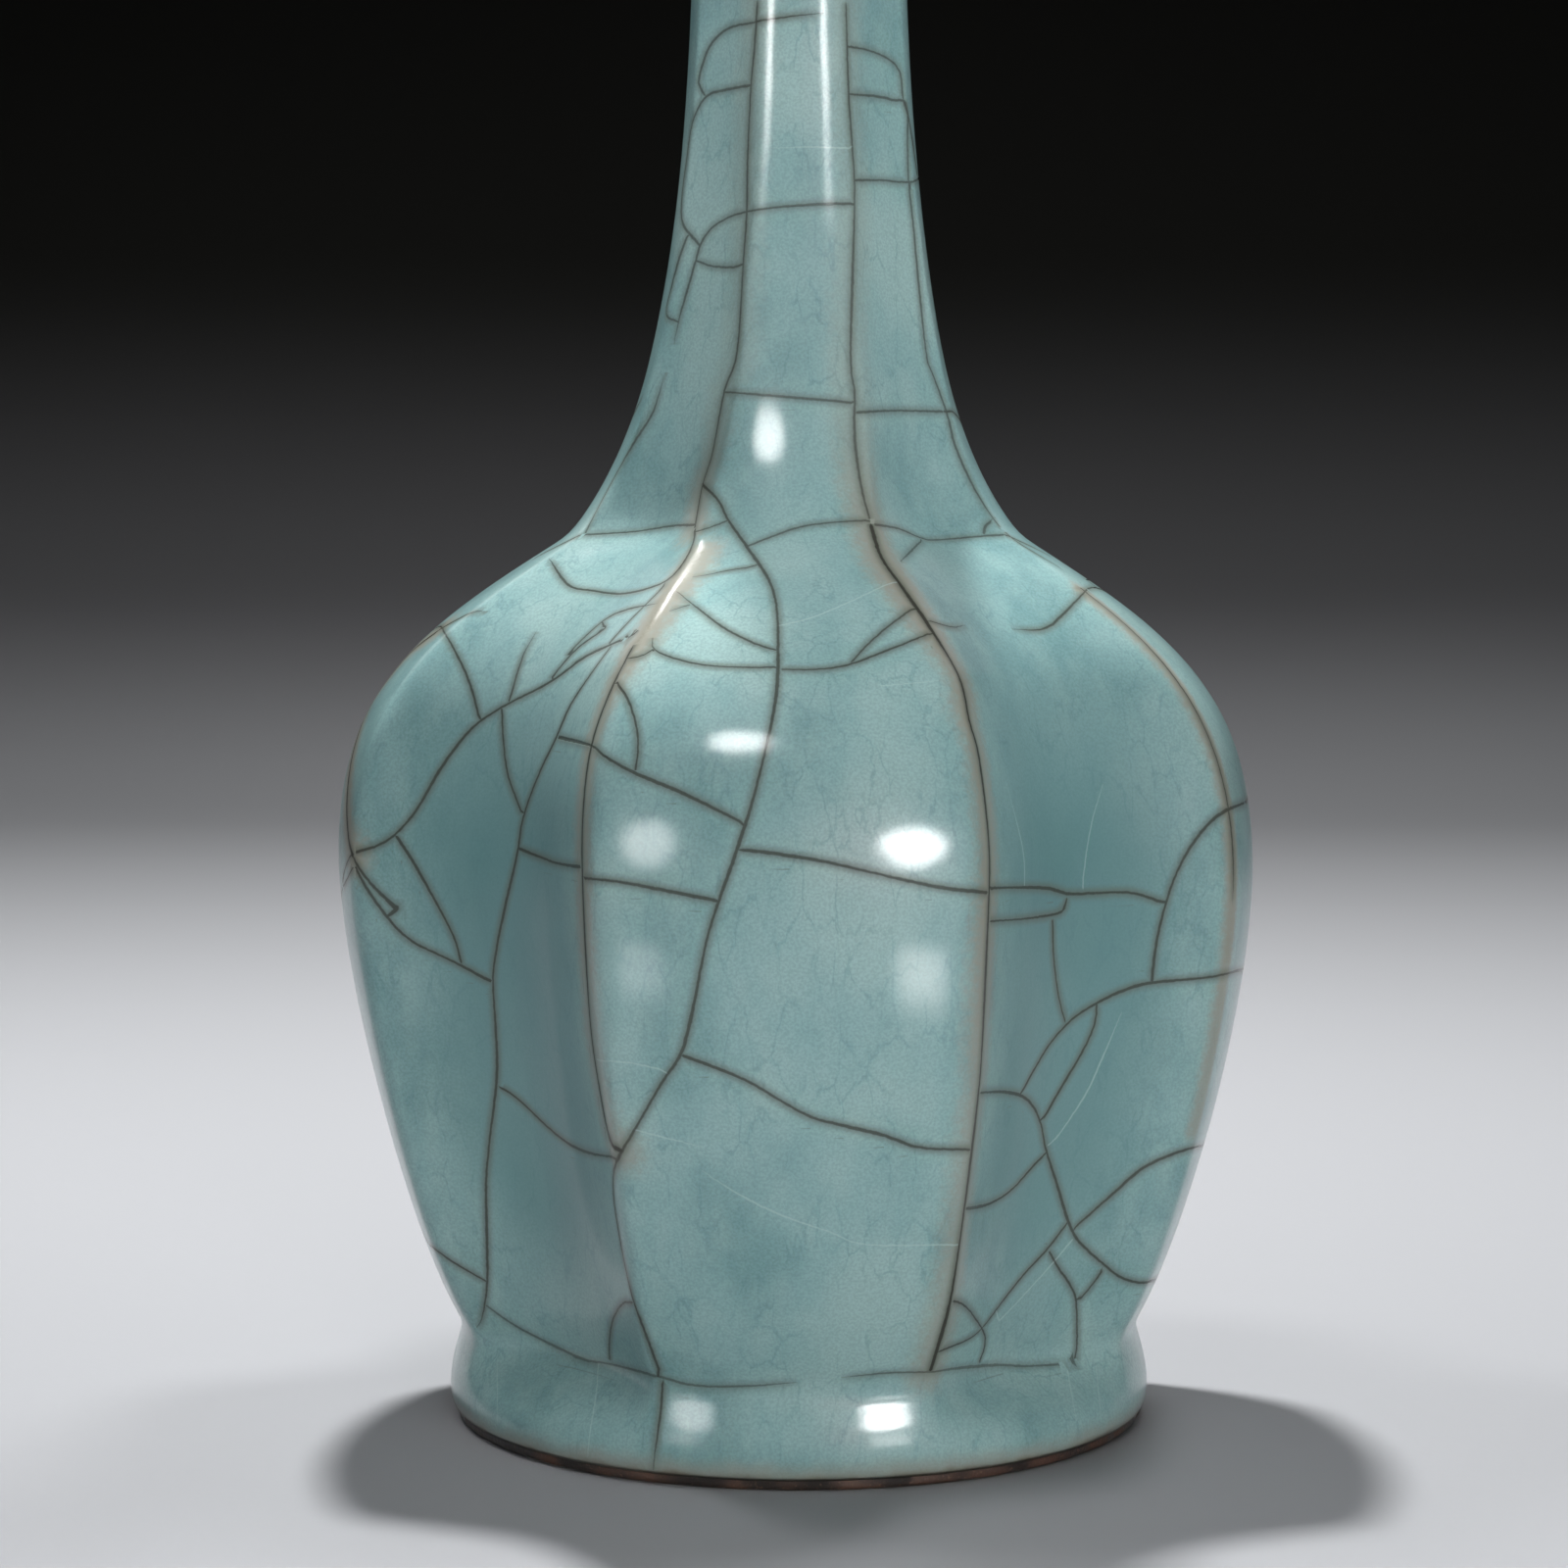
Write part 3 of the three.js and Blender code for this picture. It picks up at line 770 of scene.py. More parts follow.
def grow(start, heading, reach, turn):
    """A line whose tip walks from a place until it meets another, leaves the glaze or tires."""
    points = [start]
    spot, heading = start.copy(), heading.normalized()
    for step in range(round(reach / STEP)):
        turn = (turn + chance.gauss(0, TIP_WANDER)) * BEND_KEPT
        ahead, out, _, _ = GLAZE_FACES.find_nearest(spot + heading * STEP)
        if not GLAZE_EDGE + EDGE_MARGIN <= ahead.z <= TOTAL_HEIGHT - EDGE_MARGIN:
            break
        heading = ahead - spot
        heading -= out * heading.dot(out)
        heading.normalize()
        heading += out.cross(heading) * turn
        heading.normalize()
        spot = ahead
        other = met(spot) if step > BLIND_STEPS else None
        if other is not None:
            return points + [other]
        if step > STEPS_IN_VIEW and not unseen(spot):
            break
        points.append(spot)
    return points


def add_grown(start, heading, reach, bend, half_width):
    points = grow(start, heading, reach, bend)
    if len(points) < SHORTEST:
        return False
    note(points)
    keep_line(points, half_width, 1.0 if half_width > FINE_HALF else FINE_STAIN)
    return True


for line in lines:
    note(line["points"])
print(len(taken), "cubes of", round(CUBE / MM), "mm hold a line")

# %% The lines that leave the picture carry on
CARRY_AZIMUTH, CARRY_ABOVE, CARRY_TOP = 66, 24 * MM, 250 * MM
CARRY_STAIN, CARRY_POINTS, TIP_POINTS = 0.7, 12, 8
SIDE_REACH, TOP_REACH, CARRY_BEND = (50, 95), 70 * MM, 0.012
for line in list(lines):
    points = line["points"]
    if line["stain"] < CARRY_STAIN or len(points) < CARRY_POINTS:
        continue
    for tip, before in ((points[-1], points[-1 - TIP_POINTS]), (points[0], points[TIP_POINTS])):
        at_side = abs(azimuth_of(tip)) > CARRY_AZIMUTH and tip.z > CARRY_ABOVE
        if at_side or tip.z > CARRY_TOP:
            reach = chance.uniform(*SIDE_REACH) * MM if at_side else TOP_REACH
            add_grown(tip, tip - before, reach, chance.gauss(0, CARRY_BEND), line["half"])
print(len(lines), "lines with those that carry on")

# %% [markdown]
# Behind, each ridge gets its crack, and the cracks along the shoulder crease and the crease over the
# foot go on round the back. Then branches leave these lines sideways, long dark ones first and short
# fine ones between them.
# %% The ridges behind, and the branches between them
# Azimuths in degrees and heights in millimetres
BACK_RIDGES, BACK_HEIGHTS = (112.5, 157.5, -157.5, -112.5), range(24, 158, 12)
EDGE_RIDGE, EDGE_HEIGHTS, EDGE_THINNED = 68.0, range(96, 158, 8), 0.5
RING_HEIGHTS, RING_AZIMUTHS = (18.5, 161), range(86, 181, 12)
RIDGE_SWAY, RING_SWAY, NECK_REACH = 1.0, 0.5, 90 * MM
old_lines = len(lines)
edge_keys = [(EDGE_RIDGE, height * MM) for height in EDGE_HEIGHTS]
keep_line(laid(edge_keys, on_wall), FINE_HALF, 1.0, EDGE_THINNED)
note(lines[-1]["points"])
for ridge in BACK_RIDGES:
    trail = laid([(ridge + chance.gauss(0, RIDGE_SWAY), height * MM)
                  for height in BACK_HEIGHTS], on_wall)
    note(trail)
    keep_line(trail, DARK_HALF, 1.0, 1.0)
    out = GLAZE_FACES.find_nearest(trail[-1])[1]
    up = out.cross(Vector((-out.y, out.x, 0)).normalized())
    add_grown(trail[-1], up, NECK_REACH, 0.0, DARK_HALF)
for side in (1, -1):
    for height in RING_HEIGHTS:
        trail = laid([(side * turn, (height + chance.gauss(0, RING_SWAY)) * MM)
                      for turn in RING_AZIMUTHS], on_wall)
        note(trail)
        keep_line(trail, DARK_HALF, 1.0)


TRIES, END_POINTS, BRANCH_BEND = 40, 4, 0.02


def branches(count, spread, shortest, longest, half_width, apart):
    """Side branches from places spread over the unseen lines, never two close together."""
    parents = [line["points"] for line in lines[old_lines:]]
    starts, tries = [], 0
    while len(starts) < count and tries < TRIES * count:
        tries += 1
        parent = chance.choice(parents)
        index = chance.randrange(END_POINTS, max(END_POINTS + 1, len(parent) - END_POINTS))
        if index + 2 >= len(parent):
            continue
        spot = parent[index]
        if not unseen(spot) or any((spot - other).length < apart for other in starts):
            continue
        along = parent[index + 2] - parent[index - 2]
        out = GLAZE_FACES.find_nearest(spot)[1]
        across = out.cross(along).normalized() * chance.choice((-1, 1))
        heading = across + along.normalized() * chance.gauss(0, spread)
        if add_grown(spot, heading, chance.uniform(shortest, longest),
                     chance.gauss(0, BRANCH_BEND), half_width):
            starts.append(spot)


branches(count=22, spread=0.35, shortest=45 * MM, longest=110 * MM, half_width=DARK_HALF,
         apart=15 * MM)
branches(count=30, spread=0.5, shortest=25 * MM, longest=80 * MM, half_width=FINE_HALF,
         apart=11 * MM)
print(len(lines) - old_lines, "lines grown off the picture")

# %% [markdown]
# The material has to know, at each place of the glaze, how far the nearest crack is and on which side
# it lies. A distance with a sign blends exactly between the corners of a face, so a crack half a
# millimetre wide stays sharp on faces three times its size. Where lines meet, one distance can't
# serve both, so the lines are shared out over a few layers, never two close ones in the same layer.
# %% Closing the gaps where a line stops just short of another
CLEARANCE, BRANCH_REACH, TOUCHING = 6 * MM, 3.5 * MM, 0.3 * MM


def tree_of(spots):
    """A tree that finds the spots near a place."""
    tree = KDTree(len(spots))
    for number, spot in enumerate(spots):
        tree.insert(spot, number)
    tree.balance()
    return tree


def gathered():
    """The number of the line that each point is on, the points, and a tree of them."""
    spots = [spot for line in lines for spot in line["points"]]
    return [i for i, line in enumerate(lines) for _ in line["points"]], spots, tree_of(spots)


def others_near(spot, own, reach):
    """Points of other lines within a reach, nearest first, as gaps and numbers."""
    return sorted((gap, number) for _, number, gap in line_tree.find_range(spot, reach)
                  if owners[number] != own)


owners, samples, line_tree = gathered()
closed = 0
for own, line in enumerate(lines):
    for end in (0, -1):
        tip = line["points"][end]
        near = others_near(tip, own, BRANCH_REACH)
        if near and near[0][0] > TOUCHING:
            goal = samples[near[0][1]]
            count = max(1, round((goal - tip).length / STEP))
            bridge = [tip.lerp(goal, k / count) for k in range(1, count + 1)]
            line["points"] = line["points"] + bridge if end else bridge[::-1] + line["points"]
            closed += 1
owners, samples, line_tree = gathered()
print(closed, "gaps closed")

# %% Sharing the lines out over layers
rivals = [set() for _ in lines]
for spot, own in zip(samples, owners):
    rivals[own].update(owners[number] for _, number in others_near(spot, own, CLEARANCE))
for own in sorted(range(len(lines)), key=lambda i: -len(rivals[i])):
    used = {lines[other].get("layer") for other in rivals[own]}
    lines[own]["layer"] = next(layer for layer in range(len(lines)) if layer not in used)
CRACK_LAYERS = 1 + max(line["layer"] for line in lines)
print(len(lines), "lines in", CRACK_LAYERS, "layers")

# %% Writing the distances on the glaze
FULL_WIDTH_WITHIN, WIDTH_LOST = 2.2 * MM, 0.9
FIELD_REACH = 3.8 * MM
FREE_END_TAPER, FREE_END_WIDTH, WIDTH_LOST_PAST_END = 9 * MM, 0.05, 1.2
SWELL, SWELL_LENGTH, ALL_PHASES = 0.22, 5 * MM, 6.28
# Distance and half width in millimetres, and stain, where no line is near
NO_LINE, FAR_AWAY = [10.0, -1.0, 0.0], 1.0
corners = np.empty(len(glaze_mesh.vertices) * 3, np.float32)
glaze_mesh.vertices.foreach_get("co", corners)
corners = corners.reshape(-1, 3).astype(float)
corner_tree = tree_of(corners)
fields = np.tile(np.array(NO_LINE), (CRACK_LAYERS, len(corners), 1))
closest = np.full((CRACK_LAYERS, len(corners)), FAR_AWAY)

for own, line in enumerate(lines):
    spots = np.array(line["points"])
    if len(spots) < 3:
        continue
    along = np.gradient(spots, axis=0)
    along /= np.linalg.norm(along, axis=1)[:, None] + 1e-12
    free = [not others_near(line["points"][end], own, BRANCH_REACH) for end in (0, -1)]
    layer, length = line["layer"], (len(spots) - 1) * STEP
    wobble = chance.uniform(0, ALL_PHASES)
    for k, spot in enumerate(line["points"]):
        aside = np.cross(np.array(GLAZE_FACES.find_nearest(spot)[1]), along[k])
        for _, number, gap in corner_tree.find_range(spot, FIELD_REACH):
            if gap >= closest[layer, number]:
                continue
            closest[layer, number] = gap
            offset = corners[number] - spots[k]
            distance = float(offset @ aside)
            travelled = k * STEP + float(offset @ along[k])
            width = line["half"] * MM * (1 + SWELL * math.sin(travelled / SWELL_LENGTH + wobble))
            for is_free, left in zip(free, (travelled, length - travelled)):
                if left < 0:
                    width = min(width, width + WIDTH_LOST_PAST_END * left)
                elif is_free:
                    width = min(width, width * min(1, left / FREE_END_TAPER + FREE_END_WIDTH))
            width -= WIDTH_LOST * max(0, abs(distance) - FULL_WIDTH_WITHIN)
            fields[layer, number] = (distance / MM, width / MM, line["stain"])
for layer in range(CRACK_LAYERS):
    field = glaze_mesh.attributes.new(f"crackle_{layer}", "FLOAT_VECTOR", "POINT")
    field.data.foreach_set("vector", fields[layer].astype(np.float32).ravel())
print("corners within reach of a line:", int((closest < FAR_AWAY).any(0).sum()), "of", len(corners))

# %% Where the glaze thins along the ridges
BARE_LEFT = [(716, 563), (700, 585), (680, 612), (662, 640), (648, 659)]
BARE_HEIGHTS = range(56, 100, 8)
THINNED_REACH, FAR_FROM_RIDGE = 7 * MM, 10.0
# Two stretches of ridge thin like the others but have no dark line on them
bare_right = [(EDGE_RIDGE, height * MM) for height in BARE_HEIGHTS]
thinned = [(line["points"], line["thinned"]) for line in lines if line["thinned"]]
thinned += [(laid(BARE_LEFT, seen_at), 1.0), (laid(bare_right, on_wall), EDGE_THINNED)]
ridge_gap = np.full(len(corners), FAR_FROM_RIDGE)
for points, share in thinned:
    for spot in points:
        for _, number, gap in corner_tree.find_range(spot, THINNED_REACH):
            ridge_gap[number] = min(ridge_gap[number], gap / MM / share)
stored = glaze_mesh.attributes.new("ridge_gap", "FLOAT", "POINT")
stored.data.foreach_set("value", ridge_gap.astype(np.float32))
print(len(thinned), "stretches of ridge with thin glaze")

# %% [markdown]
# A finish starts from one colour and lays others over it, each through a mask, as a potter lays coats
# over a body. All patterns are made by nodes on object coordinates in metres, and by the attributes
# of the skin, so they stay in place when the vase moves.
# %% A helper for finishes


class Finish(Sheet):
    """A material's tree, with the colour laid so far."""

    def __init__(self, material, colour):
        material.use_nodes = True
        material.node_tree.nodes.clear()
        super().__init__(material.node_tree)
        self.colour = colour
        self.point = self.out("ShaderNodeTexCoord", None, "Object")

    def scaled(self, size, stretch):
        """The point counted in repeats of a pattern, stretched along some axes."""
        return self.out("ShaderNodeMapping", {
            "Vector": self.point, "Scale": tuple(1 / size * part for part in stretch)})

    def noise(self, size, detail=2.0, stretch=(1, 1, 1)):
        return self.out("ShaderNodeTexNoise", {
            "Vector": self.scaled(size, stretch), "Scale": 1.0, "Detail": detail}, "Fac")

    def edges(self, size, stretch, unevenness):
        """The distance to the borders of irregular cells, in cells."""
        cells = self.scaled(size, stretch)
        drift = self.out("ShaderNodeTexNoise", {"Vector": cells, "Scale": 2.2, "Detail": 3.0},
                         "Color")
        moved = self.out("ShaderNodeVectorMath", {0: drift, 1: (unevenness,) * 3, 2: cells},
                         operation="MULTIPLY_ADD")
        return self.out("ShaderNodeTexVoronoi", {"Vector": moved, "Scale": 1.0}, "Distance",
                        feature="DISTANCE_TO_EDGE")

    def stored(self, name, output):
        return self.out("ShaderNodeAttribute", None, output, attribute_name=name)

    def lay(self, mask, colour, kind="MIX"):
        """Lays a colour over the present one where the mask is high."""
        inputs = {0: mask}
        for place, given in ((6, self.colour), (7, colour)):
            inputs[place] = (*given, 1) if isinstance(given, tuple) else given
        self.colour = self.out("ShaderNodeMix", inputs, 2, data_type="RGBA", blend_type=kind)

    def bumped(self, height, depth, **earlier):
        return self.out("ShaderNodeBump",
                        {"Strength": 1.0, "Distance": depth, "Height": height, **earlier})

    def wear(self, inputs):
        """Hands the laid colour and the other inputs to a shader, and counts the nodes."""
        shader = self.out("ShaderNodeBsdfPrincipled", {"Base Color": self.colour, **inputs})
        self.node("ShaderNodeOutputMaterial", {"Surface": shader})
        return len(self.tree.nodes)


print("helper ready:", Finish.__name__)

# %% [markdown]
# This glaze is an iron glaze fired with little air. It is milky rather than clear, because it is full
# of tiny bubbles, so the colour drifts slowly between a bluer and a greener tone and is stippled by
# fine upright veins where it ran. The gloss is wet on a skin that is slightly rough beneath.
# %% The body of the glaze and its gloss
DEEP, MIDDLE, PALE = (0.172, 0.310, 0.315), (0.234, 0.385, 0.385), (0.300, 0.445, 0.435)
# A deeper tone for glaze pooled in veins and flutes; in the flutes it is also painted shade
POOLED_AND_SHADE = (0.112, 0.232, 0.245)
GLOSS = {"Specular IOR Level": 0.1, "Coat Weight": 0.7, "Coat IOR": 1.35, "Coat Roughness": 0.10}
DRIFT_SIZE, CLOUD_SIZE, VEIN_SIZE, PATCH_SIZE = 26 * MM, 5 * MM, 4.6 * MM, 8 * MM
STIPPLE_SIZE, STIPPLE_DARK, STIPPLE_LIGHT = 0.45 * MM, 0.91, 1.09
CLOUD_SHARE, VEIN_SHARE = 0.35, 0.34
ROUGH_SIZE, LEAST_ROUGH, MOST_ROUGH = 2.2 * MM, 0.31, 0.34


def glazed(material):
    """A finish with slow drift, milky clouds, upright veins and fine stipple."""
    finish = Finish(material, DEEP)
    slow = finish.noise(DRIFT_SIZE, 3.0, (1, 1, 0.7))
    finish.lay(finish.ramp(slow, 0.36, 0.52), MIDDLE)
    finish.lay(finish.ramp(slow, 0.50, 0.68), PALE)
    cloud = finish.noise(CLOUD_SIZE, 3.0, (1, 1, 0.45))
    finish.lay(finish.ramp(cloud, 0.35, 0.75, 0.0, CLOUD_SHARE), PALE)
    vein = finish.ramp(finish.edges(VEIN_SIZE, (1, 1, 0.36), 0.60), 0.0, 0.055, 1.0, 0.0)
    patch = finish.ramp(finish.noise(PATCH_SIZE), 0.38, 0.60)
    finish.lay(vein * patch * VEIN_SHARE, POOLED_AND_SHADE)
    crumb = finish.ramp(finish.noise(STIPPLE_SIZE), 0.3, 0.7, STIPPLE_DARK, STIPPLE_LIGHT)
    stipple = finish.out("ShaderNodeCombineColor", dict.fromkeys(("Red", "Green", "Blue"), crumb))
    finish.lay(1.0, stipple, "MULTIPLY")
    return finish


def roughness_of(finish):
    return finish.ramp(finish.noise(ROUGH_SIZE, 4.0), 0.3, 0.7, LEAST_ROUGH, MOST_ROUGH)


print("glaze tones:", DEEP, MIDDLE, PALE)

# %% [markdown]
# Each layer of the crackle gives a distance from the line, its half width and its stain. The line is
# where the distance is less than the half width, made a little ragged, and a brown stain has crept
# into the glaze around it. Lines without stain show as pale hairs.
# %% The crackle read back from the layers
STAIN, STAIN_HALO, COLOURLESS = (0.022, 0.021, 0.016), (0.120, 0.135, 0.110), (0.420, 0.560, 0.545)
HALO_REACH, RAGGEDNESS, RAG_SIZE, CLEAR_BELOW = 2.1, 0.28, 1.1 * MM, 0.3
LINE_EDGE, HALO_EDGE = (-0.14, 0.10), (-0.1, 0.12)


def crackle(finish):
    """Three masks: the dark line, the stain around it and the colourless line."""
    ragged = (finish.noise(RAG_SIZE) - 0.5) * RAGGEDNESS
    dark, halo, clear = 0.0, 0.0, 0.0
    for layer in range(CRACK_LAYERS):
        distance, half_width, stain = finish.split(finish.stored(f"crackle_{layer}", "Vector"))
        gap = finish.math("ABSOLUTE", distance + ragged)
        line = finish.ramp(half_width - gap, *LINE_EDGE)
        around = finish.ramp(gap, 0.0, HALO_REACH, 1.0, 0.0) * finish.ramp(half_width, *HALO_EDGE)
        dark = finish.math("MAXIMUM", dark, line * stain)
        halo = finish.math("MAXIMUM", halo, around * stain)
        clear = finish.math("MAXIMUM", clear, line * finish.math("LESS_THAN", stain, CLEAR_BELOW))
    return dark, halo, clear


print("crackle masks read", CRACK_LAYERS, "layers")

# %% [markdown]
# The outer glaze thins on every ridge and edge, where a beige grey shows with spots of brown. In the
# flutes of the belly it is laid darker and bluer: partly the glaze pooled deeper there, partly painted
# shade. At the foot and the lip it thins as well. The cracks are fine grooves, and the gloss over them
# has the faint dimples of an orange peel.
# %% The outer glaze finish
THIN, EDGE_BROWN = (0.285, 0.285, 0.240), (0.160, 0.128, 0.092)
# Heights between which a coat fades
POOLS_AND_SHADE_END, RIDGES_START, RIDGES_END = ((105 * MM, 150 * MM), (50 * MM, 105 * MM),
                                       (150 * MM, 190 * MM))
FOOT_THIN, FOOT_BROWN = (2.4 * MM, 6.5 * MM), (1.6 * MM, 3.2 * MM)
LIP_THIN = (TOTAL_HEIGHT - 6 * MM, TOTAL_HEIGHT - 1 * MM)
FRAYING, EDGE_WAVE = 4.5, 3 * MM
HALO_POWER, HALO_SHARE, CLEAR_SHARE, LINE_SHARE = 1.6, 0.72, 0.45, 0.66
SKIN_SIZE, SKIN_DEPTH, PEEL_DEPTH = 9 * MM, 0.03 * MM, 0.05 * MM
GRAIN_SIZE, GRAIN_DEPTH = 0.34 * MM, 0.011 * MM
GROOVE_DEPTH, GROOVE_ROUGHNESS = 0.08 * MM, 0.25


def dress_outer_glaze(material):
    finish = glazed(material)
    height = finish.split(finish.point)[2]
    # Darker, bluer colour in the flutes, fading up the body: partly pooled glaze, partly painted shade
    pooled_and_shade = finish.ramp(finish.stored("hollow", "Fac"), 0.2, 0.95)
    finish.lay(pooled_and_shade * finish.ramp(height, *POOLS_AND_SHADE_END, 0.80, 0.10), POOLED_AND_SHADE)

    frayed = finish.stored("ridge_gap", "Fac") + (finish.noise(1.2 * MM, 5.0) - 0.5) * FRAYING
    high = (finish.ramp(height, *RIDGES_START, 0.70, 1.0)
            * finish.ramp(height, *RIDGES_END, 1.0, 0.30))
    finish.lay(finish.ramp(frayed, 1.0, 6.4, 1.0, 0.0) * high, THIN)
    spots = finish.ramp(finish.noise(1.2 * MM, 3.0), 0.44, 0.62)
    finish.lay(finish.ramp(frayed, 0.0, 1.3, 0.8, 0.0) * spots * high, EDGE_BROWN)

    wavy = height + (finish.noise(6 * MM, 3.0) - 0.5) * EDGE_WAVE
    finish.lay(finish.ramp(wavy, *FOOT_THIN, 0.75, 0.0), THIN)
    finish.lay(finish.ramp(wavy, *FOOT_BROWN, 0.7, 0.0), EDGE_BROWN)
    finish.lay(finish.ramp(wavy, *LIP_THIN, 0.0, 0.8), THIN)

    dark, halo, clear = crackle(finish)
    finish.lay(finish.math("POWER", halo, HALO_POWER) * HALO_SHARE, STAIN_HALO)
    finish.lay(clear * CLEAR_SHARE, COLOURLESS)
    finish.lay(dark * LINE_SHARE, STAIN)
    skin = finish.bumped(finish.noise(SKIN_SIZE, 1.0, (1, 1, 0.6)), SKIN_DEPTH)
    grain = finish.bumped(finish.noise(GRAIN_SIZE, 1.0), GRAIN_DEPTH)
    return finish.wear({
        **GLOSS, "Roughness": roughness_of(finish) + dark * GROOVE_ROUGHNESS,
        "Normal": finish.bumped(1.0 - dark, GROOVE_DEPTH, Normal=skin),
        "Coat Normal": finish.bumped(finish.noise(SKIN_SIZE, 1.0), PEEL_DEPTH, Normal=grain)})


print("outer glaze finish:", dress_outer_glaze(celadon), "nodes")

# %% [markdown]
# The inside is glazed too, and so is the hollow under the base, behind the bare ring that the vase
# stood on in the kiln. Nobody laid out crackle lines there, so their finish draws crackle from the
# borders of irregular cells.
# %% The finish of the inner glaze and the base glaze
WIDE_CELLS, SMALL_CELLS, CELL_UNEVENNESS = 30 * MM, 13 * MM, 0.30
# Distances from a border, in cells, over which a line or its stain fades
WIDE_LINE, SMALL_LINE, STAIN_REACH = (0.003, 0.007), (0.005, 0.011), (0.0, 0.050)


def dress_hidden_glaze(material):
    finish = glazed(material)
    reach = finish.edges(WIDE_CELLS, (1, 1, 0.7), CELL_UNEVENNESS)
    fine = finish.edges(SMALL_CELLS, (1, 1, 0.8), CELL_UNEVENNESS)
    some = finish.ramp(finish.noise(WIDE_CELLS), 0.50, 0.54)
    dark = finish.math("MAXIMUM", finish.ramp(reach, *WIDE_LINE, 0.7, 0.0),
                       finish.ramp(fine, *SMALL_LINE, 0.45, 0.0) * some)
    finish.lay(finish.ramp(reach, *STAIN_REACH, 0.4, 0.0), STAIN_HALO)
    finish.lay(dark, STAIN)
    skin = finish.bumped(finish.noise(5 * MM), 0.12 * MM)
    return finish.wear({**GLOSS, "Roughness": roughness_of(finish),
                        "Normal": finish.bumped(1.0 - dark, GROOVE_DEPTH, Normal=skin)})


lining = bpy.data.materials.new("inner_glaze_skin")
print("hidden glaze finish:", dress_hidden_glaze(lining), "nodes")

# %% The inner glaze and the base glaze
INNER_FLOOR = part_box("inner_glaze")[0].z + GLAZE
BASE_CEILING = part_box("base_glaze")[1].z
BASE_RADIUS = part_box("base_glaze")[1].x
INNER_BACK_GAP, INNER_FACE_GAP = 4 * MM, 2.5 * MM
FLOOR_ROWS, UNDER_FLOOR_ROWS, BASE_ROWS, OVER_BASE_ROWS = 24, 14, 30, 8
wall_face, wall_back = inset(INNER_FACE, 0), inset(INNER_BACK, 0)


def level_rows(start, end, count, height, section):
    """Rows at one height, from one radius to another."""
    return np.array([(radius, height, section) for radius in np.linspace(start, end, count)])


up_the_back = spaced(below(above(wall_back, INNER_FLOOR - GLAZE), LAP_HEIGHT), INNER_BACK_GAP)
down_the_face = spaced(below(above(wall_face, INNER_FLOOR), LAP_HEIGHT), INNER_FACE_GAP)[::-1]
turn_in, turn_out = down_the_face[-1], up_the_back[0]
inner_glaze = swept("inner_glaze_skin", [
    (up_the_back, 0), (down_the_face, 1),
    (level_rows(turn_in[0], 0, FLOOR_ROWS, INNER_FLOOR, turn_in[2])[1:], 1),
    (level_rows(0, turn_out[0], UNDER_FLOOR_ROWS, INNER_FLOOR - GLAZE, turn_out[2])[:-1], 0),
], INNER_COLUMNS, SOFTENING, lining)
base_glaze = swept("base_glaze_skin", [
    (level_rows(0, BASE_RADIUS, BASE_ROWS, BASE_CEILING - GLAZE, 0), 1),
    (level_rows(BASE_RADIUS, 0, OVER_BASE_ROWS, BASE_CEILING, 0), 0),
], BASE_COLUMNS, 1, lining)

# %% [markdown]
# Where the glaze was wiped off the foot, the iron in the clay burned to a dark brown, almost black,
# with redder patches and a dull gloss. The ring is turned from its own small outline with a rounded
# edge, because that edge catches the light all along the front.
# %% The bare foot ring
RING_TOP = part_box("foot_ring")[1].z
RING_HOLE, RECESS = 54 * MM, 52.5 * MM
RING_EDGE, RING_GAP = 1.1 * MM, 0.5 * MM
EDGE_ROWS, FOOT_ROWS, TOP_ROWS, HOLE_ROWS = 7, 10, 6, 9
BURNT, REDDER, GRIT = (0.016, 0.012, 0.010), (0.085, 0.040, 0.024), (0.17, 0.105, 0.07)


def dress_ring(material):
    finish = Finish(material, BURNT)
    patches = finish.noise(7 * MM, 4.0)
    finish.lay(finish.ramp(patches, 0.40, 0.64), REDDER)
    grit = finish.ramp(finish.noise(0.7 * MM, 3.0), 0.58, 0.72)
    finish.lay(grit * 0.6, GRIT)
    return finish.wear({
        "Coat Weight": 0.25, "Coat IOR": 1.35, "Coat Roughness": 0.2,
        "Roughness": finish.ramp(patches, 0.3, 0.7, 0.28, 0.58),
        "Normal": finish.bumped(finish.noise(0.8 * MM, 4.0), 0.12 * MM)})


burnt = bpy.data.materials.new("burnt_iron_clay")
print("burnt clay finish:", dress_ring(burnt), "nodes")
ring_side = spaced(below(above(inset(GLAZE, 0), RING_EDGE), RING_TOP - 0.1 * MM), RING_GAP)
bend = np.linspace(0, math.pi / 2, EDGE_ROWS)[:-1, None]
ring_edge = np.column_stack([ring_side[0, 0] - RING_EDGE + RING_EDGE * np.sin(bend),
                             RING_EDGE * (1 - np.cos(bend)), np.zeros(len(bend))])
ring_foot = level_rows(RING_HOLE, ring_edge[0, 0], FOOT_ROWS, 0, 0)[:-1]
ring_top = level_rows(ring_side[-1, 0], RECESS, TOP_ROWS, RING_TOP, 0)[1:]
ring_inside = np.linspace(ring_top[-1], ring_foot[0], HOLE_ROWS)[1:-1]
ring_parts = [(rows, 0) for rows in (ring_foot, ring_edge, ring_side, ring_top, ring_inside)]
foot_ring = swept("foot_ring_bare", ring_parts, RING_COLUMNS, 0, burnt)

# %% [markdown]
# The clay itself is only seen where a section or a chip shows it, but it is part of the vase and
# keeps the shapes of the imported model. It is a grey stoneware with dark and pale grit.
# %% The grey clay
CLAY_NODES = ("base_floor", "lower_body", "upper_body", "neck", "mouth_rim")
CLAY, PALER_CLAY = (0.20, 0.19, 0.175), (0.34, 0.325, 0.30)
DARK_GRIT, PALE_GRIT = (0.06, 0.052, 0.045), (0.52, 0.50, 0.46)


